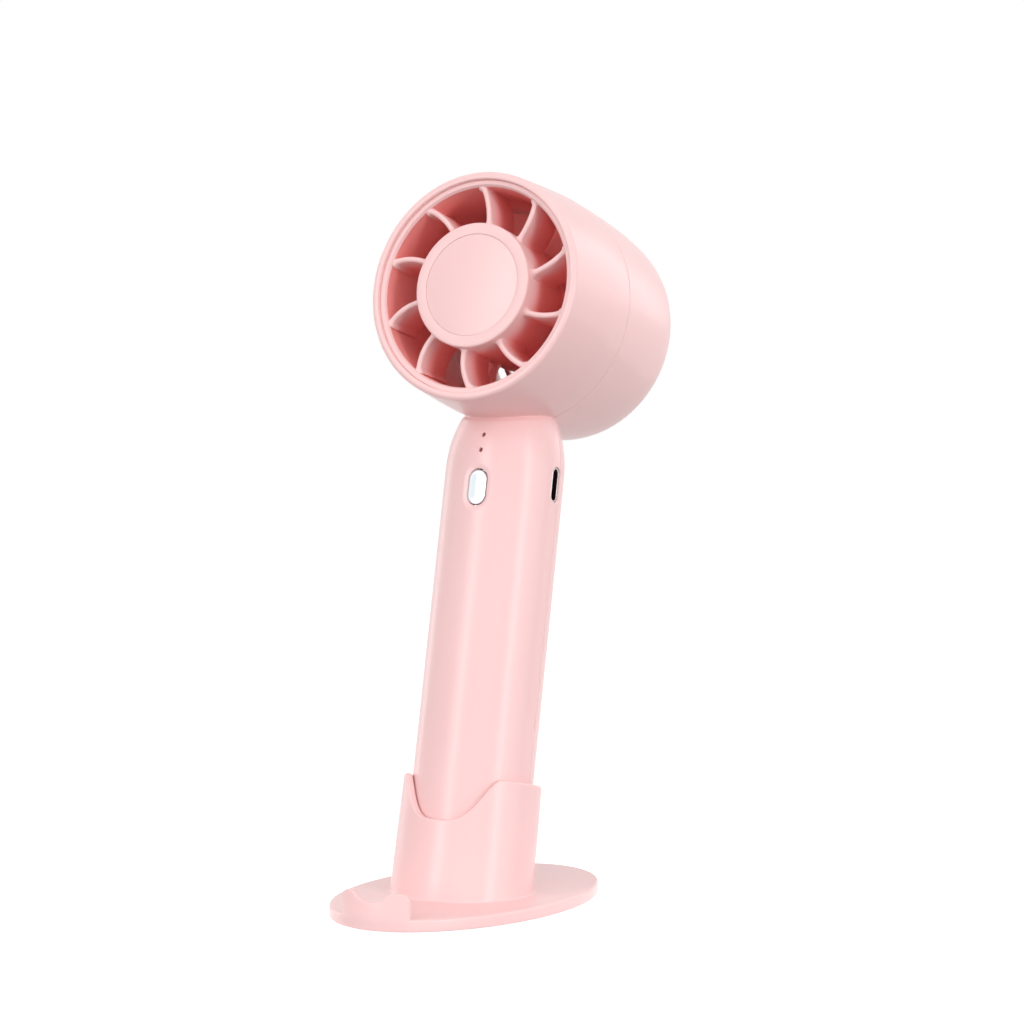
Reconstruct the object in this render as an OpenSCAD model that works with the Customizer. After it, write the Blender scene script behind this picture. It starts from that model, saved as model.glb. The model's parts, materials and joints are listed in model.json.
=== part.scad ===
// Handheld turbo fan standing in an oval table stand with a phone rest.
// Millimetres. +Z is up and the fan blows towards -Y.
// The origin is on the table, under the centre of the stand's base plate.

/* [Stand] */
// Length of the oval base plate, front to back
plate_length = 94; // [92:1:106]
// Width of the oval base plate
plate_width = 58; // [56:1:64]
// Thickness of the base plate
plate_thick = 3; // [2.6:0.2:3.6]
// Lean of the cup, and of the fan in it, from upright
lean = 12; // [10:0.5:13]
// Distance from the plate's centre forward to the foot of the leaning axis
axis_forward = 3.4; // [2:0.2:6]
// Height of the cup's rim along the leaning axis
cup_rim = 31.6; // [30:0.2:38]
// Thickness of the cup's wall at the rim
cup_wall = 1.8; // [1.6:0.1:2.4]
// How much the cup's outside widens, on each side, from rim to foot
cup_draft = 0.7; // [0.3:0.1:1]
// Clearance between the handle and the cup, on each side
cup_gap = 0.4; // [0.3:0.05:0.6]
// Depth of the thumb dip in the front of the cup's rim
dip_depth = 11.4; // [8:0.2:13]
// Half the width of the thumb dip
dip_half_width = 13.5; // [12:0.1:14]
// Height of the phone stop above the plate's top
stop_height = 6.4; // [4:0.2:8]
// Half the width of the phone stop
stop_half_width = 10; // [9:0.2:12]

/* [Handle] */
// Width of the oval handle
handle_width = 32; // [31.4:0.2:34]
// Depth of the oval handle, front to back
handle_depth = 28; // [27.4:0.2:30]
// Base of the handle, measured along the leaning axis from the plate's underside
handle_base = 6.6; // [6.4:0.1:8]
// Wall of the handle and of the barrel
shell_wall = 1.8; // [1.6:0.1:2]
// Height along the axis where the handle begins to narrow under the barrel
shoulder_start = 112; // [110:1:114]
// How much the shoulder narrows the handle on each side
shoulder_drop = 2.7; // [2:0.1:3]

/* [Head] */
// Height of the barrel's axis along the leaning axis
head_height = 155.8; // [155.6:0.1:156.2]
// Greatest radius of the barrel
barrel_radius = 31.4; // [31.2:0.1:31.8]
// Radius of the barrel at its front lip
lip_radius = 29.95; // [29.8:0.05:30.2]
// Radius of the duct that the air leaves through
duct_radius = 26.4; // [26.2:0.1:26.6]
// Radius of the fixed hub in the outlet
hub_radius = 16.4; // [16.2:0.1:16.6]
// Number of fixed guide vanes
vane_count = 10; // [8:1:12]
// Number of impeller blades
blade_count = 7; // [5:1:9]
// Angle of the impeller blades to the axis
blade_pitch = 48; // [40:1:52]

/* [Controls] */
// Height of the power button along the leaning axis
button_height = 105.8; // [104:0.2:107]
// Width of the power button's cap
button_width = 5; // [4.6:0.1:5.4]
// Length of the power button's cap
button_length = 9.1; // [8.6:0.1:9.8]
// Height of the charging socket along the leaning axis
socket_height = 108.9; // [107:0.1:109.4]

/* [Hidden] */
$fn = 96;
big = 200;
slack = 0.1;

// Colours
pink = [0.98, 0.81, 0.80];
deep_pink = [0.96, 0.74, 0.73];
board_green = [0.10, 0.35, 0.22];

// The foot pad lifts the plate a little off the table
pad_proud = 0.3;
pad_thick = 0.8;
pad_inset = 5;

// Handle section
handle_a = handle_width / 2;
handle_b = handle_depth / 2;
handle_base_round = 1.6;
handle_top = 131;
shoulder_end = 125;
shoulder_steps = 6;

// The two shells part on a plane just behind the handle's axis
seam = 0.9;
seam_gap = 0.06;

// Barrel, positions along its axis from the handle's axis, front negative
lip_front = -26.9;
lip_round = 1;
barrel_peak = -5.8;
barrel_rear = 31;
rear_drop = 3.1;
rear_steps = 16;
mouth_radius = 28;
mouth_depth = 5;
rear_wall = 2;

// Vane ring: the outlet insert with its sleeve, hub and vanes
sleeve_outer = 27.9;
sleeve_front = -25.4;
sleeve_rear = 12;
sleeve_chamfer = 0.8;
hub_front = -27.2;
hub_rear = -8.8;
hub_floor = 1.6;
hub_wall = 1.4;
cap_radius = 13.35;
cap_thick = 0.9;
cap_recess = 0.15;
cap_skirt = 11.8;
hub_opening = 12;
vane_front = -24.2;
vane_rear = -12;
vane_thick = 1.2;
vane_bend_radius = 17;
vane_turn = -2.2;
vane_sweep = 8;

// Motor leads and their passage: up from the handle, beside the lowest vane and into the hub.
// They turn in the gap between the barrel's inside and the sleeve.
lead_x = -3.9;
lead_s = -11.2;
lead_radius = 0.45;
lead_pitch = 1.1;
lead_gap_radius = 28.5;
passage_width = 3.8;
passage_depth = 1.4;

// Motor, inside the impeller's hub
bearing_bore = 2.55;
holder_radius = 3.6;
stator_front = -7.2;
stator_rear = -2.2;
stator_radius = 10.6;
stator_teeth = 9;
can_outer = 12.9;
can_inner = 12.3;
can_front = -8.2;
can_rear = 0.4;
shaft_radius = 1;
motor_post_circle = 8.6;

// Impeller
impeller_hub = 16.2;
impeller_front = -8;
impeller_shoulder = 3;
impeller_nose = 10;
blade_tip = 25.8;
blade_front = -7.2;
blade_rear = 6.4;
blade_thick = 1.1;

// Rear grille
grille_radius = 26.2;
grille_front = 26.6;
grille_rear = 30.4;
grille_rim = 1.5;
grille_bar = 1.3;
grille_bars = 20;
grille_rings = [11.5, 16.5, 21.5];
grille_centre = 6.8;

// Control board, upright in the handle
board_front = -3.65;
board_back = -2.45;
board_bottom = 87;
board_top = 121.5;
board_half_width = 11.5;
socket_y = -0.8;

// Power button: its cap, the flange that holds it in, its stem, and the switch behind it
button_clearance = 0.3;
button_face = -13.9;
flange_front = -11.7;
flange_back = -10.9;
flange_proud = 0.8;
stem_radius = 1.4;
stem_back = -8.6;
plunger_radius = 1.2;
plunger_back = -5;
switch_front = -6.6;
switch_side = 4.6;

// Charging socket: the outside and inside of its metal shell
socket_size = [3.26, 8.94];
socket_opening = [2.56, 8.34];
socket_back = 8.4;
socket_depth = 7.2;

// Indicator lights over the button
led_heights = [115.5, 119.6];
light_hole = 0.6;

// Battery cell
cell_radius = 9.15;
cell_bottom = 14;
cell_length = 65;

// Shell screws: two low in the handle and two above the battery
screw_x = 8;
screw_heights = [10.2, 83];
screw_shank = 0.9;
screw_head = 1.9;
screw_seat = 6.4;
front_post = 2.2;
rear_post = 2.9;
counterbore = 2.15;
plug_radius = 2.05;

// Screws that hold the control board on two posts
board_screw_x = 8.2;
board_post = 1.9;
board_shank = 0.8;

// ---------------------------------------------------------------- frames

// Frame of the fan: z runs up the handle, y runs from the outlet to the intake
module in_fan() {
    translate([0, -axis_forward, pad_proud]) rotate([-lean, 0, 0]) children();
}

// Frame of the head: z runs along the barrel's axis from the outlet to the intake
module in_head() {
    in_fan() translate([0, 0, head_height]) rotate([-90, 0, 0]) children();
}

// A child drawn in the XZ plane's coordinates, as thick as given along y
module upright(from_y, to_y) {
    translate([0, to_y, 0]) rotate([90, 0, 0]) linear_extrude(to_y - from_y) children();
}

module ellipse(a, b) {
    scale([a, b]) circle(r = 1, $fn = 128);
}

module stadium(width, length) {
    square([width, length - width], center = true);
    for (side = [-1, 1]) translate([0, side * (length - width) / 2]) circle(d = width);
}

// A hollow cylinder from one height to another
module tube(outer, inner, from_z, to_z) {
    difference() {
        translate([0, 0, from_z]) cylinder(r = outer, h = to_z - from_z);
        translate([0, 0, from_z - 1]) cylinder(r = inner, h = to_z - from_z + 2);
    }
}

// ---------------------------------------------------------------- wires

function unit(v) = v / norm(v);
function wire_dir(route, i) =
    i == 0 ? unit(route[1] - route[0]) :
    i == len(route) - 1 ? unit(route[i] - route[i - 1]) :
    unit(unit(route[i + 1] - route[i]) + unit(route[i] - route[i - 1]));

// A wire of 8 sides swept along a route that never runs along the x axis
module wire(route, radius) {
    sides = 8;
    ring = [for (i = [0 : len(route) - 1])
        let (dir = wire_dir(route, i), side = unit(cross(dir, [1, 0, 0])), up = cross(side, dir))
        for (j = [0 : sides - 1])
            route[i] + radius * (cos(360 * j / sides) * side + sin(360 * j / sides) * up)];
    skin = [for (i = [0 : len(route) - 2], j = [0 : sides - 1])
        let (a = i * sides + j, b = i * sides + (j + 1) % sides)
        each [[a, b, b + sides], [a, b + sides, a + sides]]];
    last = (len(route) - 1) * sides;
    ends = [for (j = [1 : sides - 2]) each [[0, j + 1, j], [last, last + j, last + j + 1]]];
    polyhedron(points = ring, faces = concat(skin, ends));
}

// ---------------------------------------------------------------- stand

// Height of the cup's rim in the thumb dip: a broad round bottom that runs smoothly out to the rim
function dip_height(x) = cup_rim - dip_depth * pow(1 - pow(abs(x) / dip_half_width, 3.5), 2);

cup_a = handle_a + cup_gap;
cup_b = handle_b + cup_gap;

// The whole oval of the plate, to any height, with flat faces at its top and bottom
module plate_oval(inset, from_z, to_z) {
    intersection() {
        translate([0, 0, from_z - 1])
            linear_extrude(to_z - from_z + 2)
                ellipse(plate_width / 2 - inset, plate_length / 2 - inset);
        translate([-big / 2, -big / 2, from_z]) cube([big, big, to_z - from_z]);
    }
}

// The front cut that leaves the thumb dip, drawn in the fan's frame
module dip_cut() {
    steps = 20;
    curve = [for (i = [-steps : steps]) let (x = i * dip_half_width / steps) [x, dip_height(x)]];
    upright(-big / 2, 0) polygon(concat(curve, [[dip_half_width, big / 2], [-dip_half_width, big / 2]]));
}

module cup_outside() {
    wall = cup_gap + cup_wall;
    hull() {
        translate([0, 0, -4])
            linear_extrude(0.1) ellipse(handle_a + wall + cup_draft, handle_b + wall + cup_draft);
        translate([0, 0, cup_rim - 0.1])
            linear_extrude(0.1) ellipse(handle_a + wall, handle_b + wall);
    }
}

// The wall at the plate's front edge that stops a phone from sliding off, with a notch for its cable
module phone_stop() {
    stop_wall = 1.6;
    corner = 2.8;
    notch_radius = 7.6;
    notch_bottom = 3.9;
    top = plate_thick + stop_height;
    intersection() {
        difference() {
            plate_oval(0, 0.5, top);
            plate_oval(stop_wall, 0, top + 1);
        }
        upright(-big / 2, 0) difference() {
            union() {
                translate([-stop_half_width, 0]) square([2 * stop_half_width, top - corner]);
                translate([-stop_half_width + corner, 0]) square([2 * (stop_half_width - corner), top]);
                for (side = [-1, 1])
                    translate([side * (stop_half_width - corner), top - corner]) circle(r = corner);
            }
            translate([0, plate_thick + notch_bottom + notch_radius]) circle(r = notch_radius);
        }
    }
}

module stand() {
    color(pink) difference() {
        union() {
            translate([0, 0, pad_proud]) {
                plate_oval(0, 0, plate_thick);
                phone_stop();
            }
            intersection() {
                in_fan() difference() {
                    cup_outside();
                    dip_cut();
                }
                translate([-big / 2, -big / 2, pad_proud + 1]) cube(big);
            }
        }
        in_fan() translate([0, 0, handle_base - 0.05]) linear_extrude(cup_rim) ellipse(cup_a, cup_b);
        plate_oval(pad_inset - slack, -1, pad_thick);
    }
}

module foot_pad() {
    color([0.92, 0.90, 0.89]) plate_oval(pad_inset, 0, pad_thick);
}

// ---------------------------------------------------------------- fan casing

// How far the handle's outline has drawn in at a height along it
function shoulder_inset(z) =
    shoulder_drop * pow((z - shoulder_start) / (shoulder_end - shoulder_start), 2);
function base_inset(z) =
    handle_base_round - sqrt(pow(handle_base_round, 2) - pow(handle_base + handle_base_round - z, 2));

// Half an outline of the handle as seen from the front or the side
function handle_outline(half, base, inset) = concat(
    [[0, base]],
    [for (i = [0 : 4]) let (z = base + i * 0.3) [half - base_inset(handle_base + i * 0.3) - inset, z]],
    [[half + 2, base + 3], [half + 2, shoulder_start]],
    [for (i = [1 : shoulder_steps])
        let (z = shoulder_start + i * (shoulder_end - shoulder_start) / shoulder_steps)
        [half - shoulder_inset(z) - inset, z]],
    [[half - shoulder_drop - inset, handle_top], [0, handle_top]]);

// The oval handle, its outline drawn in by an inset, from a base height up into the barrel
module handle_form(inset, base) {
    intersection() {
        translate([0, 0, base]) linear_extrude(handle_top - base)
            ellipse(handle_a - inset, handle_b - inset);
        upright(-big / 2, big / 2) for (side = [0, 1]) mirror([side, 0])
            polygon(handle_outline(handle_a, base, inset));
        rotate([0, 0, 90]) upright(-big / 2, big / 2) for (side = [0, 1]) mirror([side, 0])
            polygon(handle_outline(handle_b, base, inset));
    }
}

// Radius of the barrel's outside at a place along its axis
function barrel_at(s) = s < barrel_peak
    ? barrel_radius - (barrel_radius - lip_radius) * (barrel_peak - s) / (barrel_peak - lip_front)
    : barrel_radius - rear_drop * (1 - rear_quarter((s - barrel_peak) / (barrel_rear - barrel_peak)));
function rear_quarter(t) = sqrt(max(0, 1 - t * t));

// Outline of the barrel from its front lip to its rear, drawn in by an inset
function barrel_line(inset, front, rear) = concat(
    [[barrel_at(front) - inset, front], [barrel_radius - inset, barrel_peak]],
    [for (i = [1 : rear_steps])
        let (s = barrel_peak + i * (rear - barrel_peak) / rear_steps) [barrel_at(s) - inset, s]]);

module barrel_outside() {
    rotate_extrude() polygon(concat(
        [[0, lip_front], [barrel_at(lip_front) - lip_round, lip_front]],
        barrel_line(0, lip_front + lip_round, barrel_rear),
        [[0, barrel_rear]]));
}

module barrel_inside() {
    hollow_front = lip_front + mouth_depth;
    rotate_extrude() polygon(concat(
        [[0, hollow_front]],
        barrel_line(shell_wall, hollow_front, barrel_rear - rear_wall),
        [[0, barrel_rear - rear_wall]]));
}

module fan_outside() {
    in_fan() handle_form(0, handle_base);
    in_head() barrel_outside();
}

module fan_inside() {
    in_fan() handle_form(shell_wall, handle_base + shell_wall);
    in_head() {
        barrel_inside();
        translate([0, 0, lip_front - 1]) cylinder(r = mouth_radius, h = mouth_depth + 2);
        translate([0, 0, barrel_rear - rear_wall - 1]) cylinder(r = grille_radius + slack, h = rear_wall + 2);
    }
}

// Everything in front of the parting plane, or behind it
module front_half() {
    in_fan() translate([-big / 2, seam - seam_gap / 2 - big, -big / 2]) cube([big, big, 2 * big]);
}

module rear_half() {
    in_fan() translate([-big / 2, seam + seam_gap / 2, -big / 2]) cube([big, big, 2 * big]);
}

// A post along y in the fan's frame
module post(x, z, radius, from_y, to_y) {
    translate([x, to_y, z]) rotate([90, 0, 0]) cylinder(r = radius, h = to_y - from_y, $fn = 48);
}

// Places a child at each shell screw
module at_shell_screws() {
    for (side = [-1, 1], z = screw_heights) translate([side * screw_x, 0, z]) children();
}

module at_board_screws() {
    for (side = [-1, 1]) translate([side * board_screw_x, 0, board_bottom + 3]) children();
}

// A stadium across the handle, in the charging socket's place
module at_socket(from_x, length) {
    translate([from_x, socket_y, socket_height]) rotate([0, 90, 0])
        linear_extrude(length) rotate([0, 0, 90]) children();
}

module usb_cut() {
    at_socket(socket_back - 0.4, 12) stadium(socket_size[0] + 0.3, socket_size[1] + 0.3);
}

module front_shell() {
    color(pink) difference() {
        union() {
            intersection() {
                difference() {
                    fan_outside();
                    fan_inside();
                }
                front_half();
            }
            in_fan() {
                at_shell_screws() post(0, 0, front_post, -10.5, seam - seam_gap / 2);
                at_board_screws() post(0, 0, board_post, -9.6, board_front);
            }
        }
        in_fan() {
            at_shell_screws() post(0, 0, screw_shank + 0.05, -7.6, 2);
            at_board_screws() post(0, 0, board_shank + 0.05, -7.6, 0);
            translate([0, 0, button_height]) upright(-20, -8)
                stadium(button_width + 2 * button_clearance, button_length + 2 * button_clearance);
            for (z = led_heights) post(0, z, light_hole, -20, -3);
            usb_cut();
        }
    }
}

module rear_shell() {
    color(pink) difference() {
        union() {
            intersection() {
                difference() {
                    fan_outside();
                    fan_inside();
                }
                rear_half();
            }
            in_fan() at_shell_screws() post(0, 0, rear_post, seam + seam_gap / 2, 10.1);
            in_head() tube(barrel_at(grille_front) - 1, grille_radius - 1.2,
                grille_front - 1.2, grille_front - slack);
        }
        in_fan() {
            at_shell_screws() {
                post(0, 0, screw_shank + 0.25, 0, 8);
                post(0, 0, counterbore, screw_seat, 20);
            }
            usb_cut();
        }
    }
}

module shell_screws() {
    color([0.72, 0.73, 0.76]) in_fan() at_shell_screws() difference() {
        union() {
            post(0, 0, screw_shank, -6.6, screw_seat + 0.2);
            post(0, 0, screw_head, screw_seat, screw_seat + 1.5);
        }
        for (turn = [0, 90]) translate([0, screw_seat + 1.6, 0]) rotate([0, turn, 0])
            cube([0.5, 1.6, 2.2], center = true);
    }
}

module screw_plugs() {
    color(deep_pink) in_fan() intersection() {
        at_shell_screws() post(0, 0, plug_radius, screw_seat + 2.2, 20);
        handle_form(0.08, handle_base + 0.2);
    }
}

// ---------------------------------------------------------------- outlet and intake

// One bowed vane at the top: its outer end straight up, its root turned by the sweep
module vane() {
    tip = [0, -duct_radius];
    root = [hub_radius * sin(vane_sweep), -hub_radius * cos(vane_sweep)];
    chord = root - tip;
    side = [chord[1], -chord[0]] / norm(chord);
    bend = (tip + root) / 2 - sqrt(pow(vane_bend_radius, 2) - pow(norm(chord) / 2, 2)) * side;
    intersection() {
        tube(sleeve_outer - 0.3, hub_radius - 0.5, vane_front, vane_rear);
        translate(bend) tube(vane_bend_radius + vane_thick / 2, vane_bend_radius - vane_thick / 2,
            vane_front - 1, vane_rear + 1);
        translate([-6, -sleeve_outer, vane_front - 1]) cube([12, sleeve_outer, vane_rear - vane_front + 2]);
    }
}

module vane_ring() {
    color(pink) in_head() difference() {
        union() {
            rotate_extrude() polygon([
                [duct_radius, sleeve_front + sleeve_chamfer],
                [duct_radius + sleeve_chamfer, sleeve_front],
                [sleeve_outer, sleeve_front],
                [sleeve_outer, sleeve_rear],
                [sleeve_outer - 0.4, sleeve_rear],
                [duct_radius, sleeve_rear - 4]]);
            rotate_extrude() polygon([
                [cap_radius + slack, hub_front],
                [hub_radius - 0.4, hub_front],
                [hub_radius, hub_front + 0.4],
                [hub_radius, hub_rear],
                [holder_radius + 0.05, hub_rear],
                [holder_radius + 0.05, hub_rear - hub_floor],
                [hub_radius - hub_wall, hub_rear - hub_floor],
                [hub_radius - hub_wall, hub_front + cap_thick + 1.6],
                [hub_opening, hub_front + cap_thick + 1.6],
                [hub_opening, hub_front + cap_thick + cap_recess],
                [cap_radius + slack, hub_front + cap_thick + cap_recess]]);
            for (i = [0 : vane_count - 1]) rotate([0, 0, i * 360 / vane_count + vane_turn]) vane();
            at_motor_posts() translate([0, 0, hub_rear - 3.6]) cylinder(r = 1.5, h = 2.2, $fn = 32);
        }
        at_motor_posts() translate([0, 0, hub_rear - 4]) cylinder(r = 0.75, h = 3, $fn = 32);
        lead_passage();
    }
}

// Places a child on the axis of each of the three posts inside the hub
module at_motor_posts() {
    for (i = [0 : 2]) rotate([0, 0, i * 120]) translate([0, -motor_post_circle, 0]) children();
}

// Slot through the sleeve and into the hub, beside their lowest point, for the motor's leads
module lead_passage() {
    from_hub = hub_radius - 3.2;
    translate([lead_x - passage_width / 2, from_hub, lead_s - passage_depth / 2])
        cube([passage_width, sleeve_outer + 1 - from_hub, passage_depth]);
}

module hub_cap() {
    face = hub_front + cap_recess;
    color(pink) in_head() {
        translate([0, 0, face]) cylinder(r = cap_radius, h = cap_thick);
        tube(cap_skirt, cap_skirt - 1.2, face + cap_thick - 0.1, face + cap_thick + 1.6);
    }
}

module rear_grille() {
    color(pink) in_head() {
        tube(grille_radius, grille_radius - grille_rim, grille_front, grille_rear);
        for (radius = grille_rings)
            tube(radius + grille_bar / 2, radius - grille_bar / 2, grille_front + 1.4, grille_rear - 0.4);
        translate([0, 0, grille_front + 1]) cylinder(r = grille_centre, h = grille_rear - grille_front - 1.2);
        difference() {
            for (i = [0 : grille_bars / 2 - 1]) rotate([0, 0, i * 360 / grille_bars])
                translate([-grille_radius + 1, -grille_bar / 2, grille_front + 1.2])
                    cube([2 * grille_radius - 2, grille_bar, 2]);
            translate([0, 0, grille_front]) cylinder(r = grille_centre - 1, h = 5);
        }
    }
}

// ---------------------------------------------------------------- impeller and motor

module blade() {
    intersection() {
        tube(blade_tip, impeller_hub - 0.4, blade_front, blade_rear);
        translate([0, -(impeller_hub + blade_tip) / 2, (blade_front + blade_rear) / 2])
            rotate([0, blade_pitch, 0]) cube([blade_thick, 16, 30], center = true);
    }
}

module impeller() {
    color(pink) in_head() {
        difference() {
            rotate_extrude() polygon(concat(
                [[can_outer + 0.05, impeller_front], [impeller_hub, impeller_front]],
                [for (i = [0 : 9]) let (a = i * 9)
                    [3 + (impeller_hub - 3) * cos(a),
                     impeller_shoulder + (impeller_nose - impeller_shoulder) * sin(a)]],
                [[0, impeller_nose], [0, can_rear + 0.05], [can_outer + 0.05, can_rear + 0.05]]));
            translate([0, 0, -1]) cylinder(r = shaft_radius + 0.02, h = 7, $fn = 48);
            tube(13.6, 4, can_rear + 2, 2 * can_rear + 2);
        }
        for (i = [0 : blade_count - 1]) rotate([0, 0, i * 360 / blade_count]) blade();
    }
}

module rotor_can() {
    color([0.70, 0.71, 0.73]) in_head() rotate_extrude() polygon([
        [can_inner, can_front], [can_outer, can_front], [can_outer, can_rear],
        [shaft_radius + 0.02, can_rear], [shaft_radius + 0.02, can_rear - 0.7], [can_inner, can_rear - 0.7]]);
}

module motor_magnet() {
    color([0.22, 0.21, 0.22]) in_head()
        tube(can_inner - 0.03, stator_radius + 0.35, can_front + 0.4, can_rear - 1.4);
}

module motor_shaft() {
    color([0.80, 0.81, 0.83]) in_head() difference() {
        translate([0, 0, -13.6]) cylinder(r = shaft_radius, h = 18.6, $fn = 48);
        tube(2, 0.75, -13.2, -12.8);
    }
}

module shaft_clip() {
    color([0.55, 0.56, 0.58]) in_head() difference() {
        tube(2.1, 0.77, -13.15, -12.85);
        translate([-0.6, 0, -14]) cube([1.2, 3, 2]);
    }
}

module bearing_holder() {
    color([0.80, 0.66, 0.36]) in_head() {
        tube(holder_radius, bearing_bore, -12.7, -1);
        tube(5.6, holder_radius - 0.2, hub_rear + 0.02, hub_rear + 0.8);
    }
}

module motor_bearings() {
    color([0.75, 0.76, 0.78]) in_head() for (s = [-12.6, -3.4])
        tube(bearing_bore - 0.02, shaft_radius + 0.04, s, s + 2.3);
}

module motor_stator() {
    tip_width = 5.8;
    color([0.45, 0.46, 0.48]) in_head() translate([0, 0, stator_front])
        linear_extrude(stator_rear - stator_front) difference() {
            union() {
                circle(r = 5.8);
                for (i = [0 : stator_teeth - 1]) rotate([0, 0, i * 360 / stator_teeth]) {
                    translate([5, -0.9]) square([stator_radius - 5.4, 1.8]);
                    translate([stator_radius - 0.9, -tip_width / 2]) square([0.6, tip_width]);
                }
            }
            circle(r = holder_radius + 0.03);
        }
}

module motor_windings() {
    coil_out = 0.75;
    color([0.72, 0.36, 0.16]) in_head()
        for (i = [0 : stator_teeth - 1]) rotate([0, 0, i * 360 / stator_teeth]) difference() {
            translate([6.3, -0.95 - coil_out, stator_front - coil_out])
                cube([2.9, 1.9 + 2 * coil_out, stator_rear - stator_front + 2 * coil_out]);
            translate([6, -0.95, stator_front - 0.05]) cube([4, 1.9, stator_rear - stator_front + 0.1]);
        }
}

module motor_board() {
    color(board_green) in_head() difference() {
        tube(11.2, holder_radius + 0.3, hub_rear - 4.6, hub_rear - 3.6);
        at_motor_posts() translate([0, 0, hub_rear - 5]) cylinder(r = 0.9, h = 3, $fn = 32);
    }
}

module motor_screws() {
    color([0.72, 0.73, 0.76]) in_head() at_motor_posts()
        translate([0, 0, hub_rear - 5.6]) difference() {
            union() {
                cylinder(r = 1.5, h = 1, $fn = 32);
                cylinder(r = 0.7, h = 3.6, $fn = 32);
            }
            for (turn = [0, 90]) rotate([0, 0, turn]) cube([0.4, 1.8, 0.9], center = true);
        }
}

// ---------------------------------------------------------------- controls

module power_button() {
    color([0.90, 0.92, 0.93]) in_fan() translate([0, 0, button_height]) {
        upright(button_face, flange_front + slack) stadium(button_width, button_length);
        upright(flange_front, flange_back)
            stadium(button_width + 2 * flange_proud, button_length + 2 * flange_proud);
        post(0, 0, stem_radius, flange_back - slack, stem_back);
    }
}

module switch_plunger() {
    color([0.15, 0.15, 0.16]) in_fan()
        post(0, button_height, plunger_radius, stem_back + 0.02, plunger_back);
}

module tact_switch() {
    color([0.25, 0.25, 0.27]) in_fan() difference() {
        translate([-switch_side / 2, switch_front, button_height - switch_side / 2])
            cube([switch_side, board_front - switch_front, switch_side]);
        post(0, button_height, plunger_radius + 0.05, switch_front - 1, plunger_back + 0.8);
    }
}

module light_guide() {
    post_fronts = [-12.9, -12.2];
    bar_front = -8.4;
    color([0.93, 0.95, 0.96, 0.6]) in_fan() {
        for (i = [0, 1]) post(0, led_heights[i], light_hole - 0.08, post_fronts[i], bar_front + 0.4);
        translate([-1, bar_front, led_heights[0] - 1])
            cube([2, 1.2, led_heights[1] - led_heights[0] + 2]);
    }
}

module indicator_leds() {
    color([0.96, 0.93, 0.70]) in_fan() for (z = led_heights)
        translate([-0.8, board_front - 0.6, z - 0.4]) cube([1.6, 0.6, 0.8]);
}

module usb_shell() {
    color([0.78, 0.79, 0.80]) in_fan() difference() {
        at_socket(socket_back, socket_depth) stadium(socket_size[0], socket_size[1]);
        at_socket(socket_back + 1, socket_depth) stadium(socket_opening[0], socket_opening[1]);
    }
}

module usb_tongue() {
    tongue = [4.9, 0.7, 6.6];
    color([0.12, 0.12, 0.13]) in_fan()
        translate([socket_back + 1.05, socket_y - tongue[1] / 2, socket_height - tongue[2] / 2]) cube(tongue);
}

module control_board() {
    color(board_green) in_fan() difference() {
        translate([-board_half_width, board_front, board_bottom])
            cube([2 * board_half_width, board_back - board_front, board_top - board_bottom]);
        at_board_screws() post(0, 0, 0.95, -5, 0);
    }
}

module board_chips() {
    // Each chip's left edge, bottom edge, width, height and thickness
    chips = [[-9.4, 98, 4.9, 3.9, 1.5], [-3.4, 96, 4, 4, 1.2], [-8.8, 113, 3, 3, 1.1]];
    color([0.12, 0.12, 0.13]) in_fan() for (chip = chips)
        translate([chip[0], board_back, chip[1]]) cube([chip[2], chip[4], chip[3]]);
}

module board_inductor() {
    side = 5;
    height = 2.6;
    color([0.30, 0.30, 0.31]) in_fan() translate([-4.2, board_back, 104.5]) difference() {
        cube([side, height, side]);
        translate([side / 2, height - 0.4, side / 2]) rotate([-90, 0, 0]) cylinder(r = 1.7, h = 1, $fn = 32);
    }
}

module board_capacitors() {
    color([0.76, 0.62, 0.44]) in_fan() for (i = [0 : 3])
        translate([-9 + i * 2.6, board_back, 93]) cube([1.2, 0.8, 2]);
}

module board_screws() {
    color([0.72, 0.73, 0.76]) in_fan() at_board_screws() difference() {
        union() {
            post(0, 0, board_shank, -7, board_back);
            post(0, 0, 2 * board_shank, board_back, board_back + 1.1);
        }
        for (turn = [0, 90]) translate([0, board_back + 1.2, 0]) rotate([0, turn, 0])
            cube([0.4, 1, 1.8], center = true);
    }
}

// ---------------------------------------------------------------- battery and wires

module battery_cell() {
    color([0.35, 0.55, 0.78]) in_fan() {
        translate([0, 0, cell_bottom]) cylinder(r = cell_radius, h = cell_length - 1);
        translate([0, 0, cell_bottom + cell_length - 1.1]) cylinder(r = 3, h = 1.1);
    }
}

module battery_tabs() {
    thick = 0.2;
    color([0.82, 0.82, 0.80]) in_fan() {
        translate([-3, -7, cell_bottom + cell_length]) cube([6, 12, thick]);
        translate([-3, -7, cell_bottom - thick - 0.02]) cube([14, 6, thick]);
    }
}

module battery_pads() {
    lower = 2;
    upper = 1.4;
    color([0.25, 0.25, 0.26]) in_fan() {
        translate([0, 3, cell_bottom - lower - 0.3]) cylinder(r = 5, h = lower);
        translate([0, 0, cell_bottom + cell_length + 0.25]) cylinder(r = 4.4, h = upper);
    }
}

module positive_lead() {
    color([0.80, 0.10, 0.10]) in_fan()
        wire([[0, -6, 79.5], [0, -6.4, 81], [-2, -7, 84], [-4, -6.4, 87],
            [-5, -4.9, 90], [-5, -4.2, 93]], 0.5);
}

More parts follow.
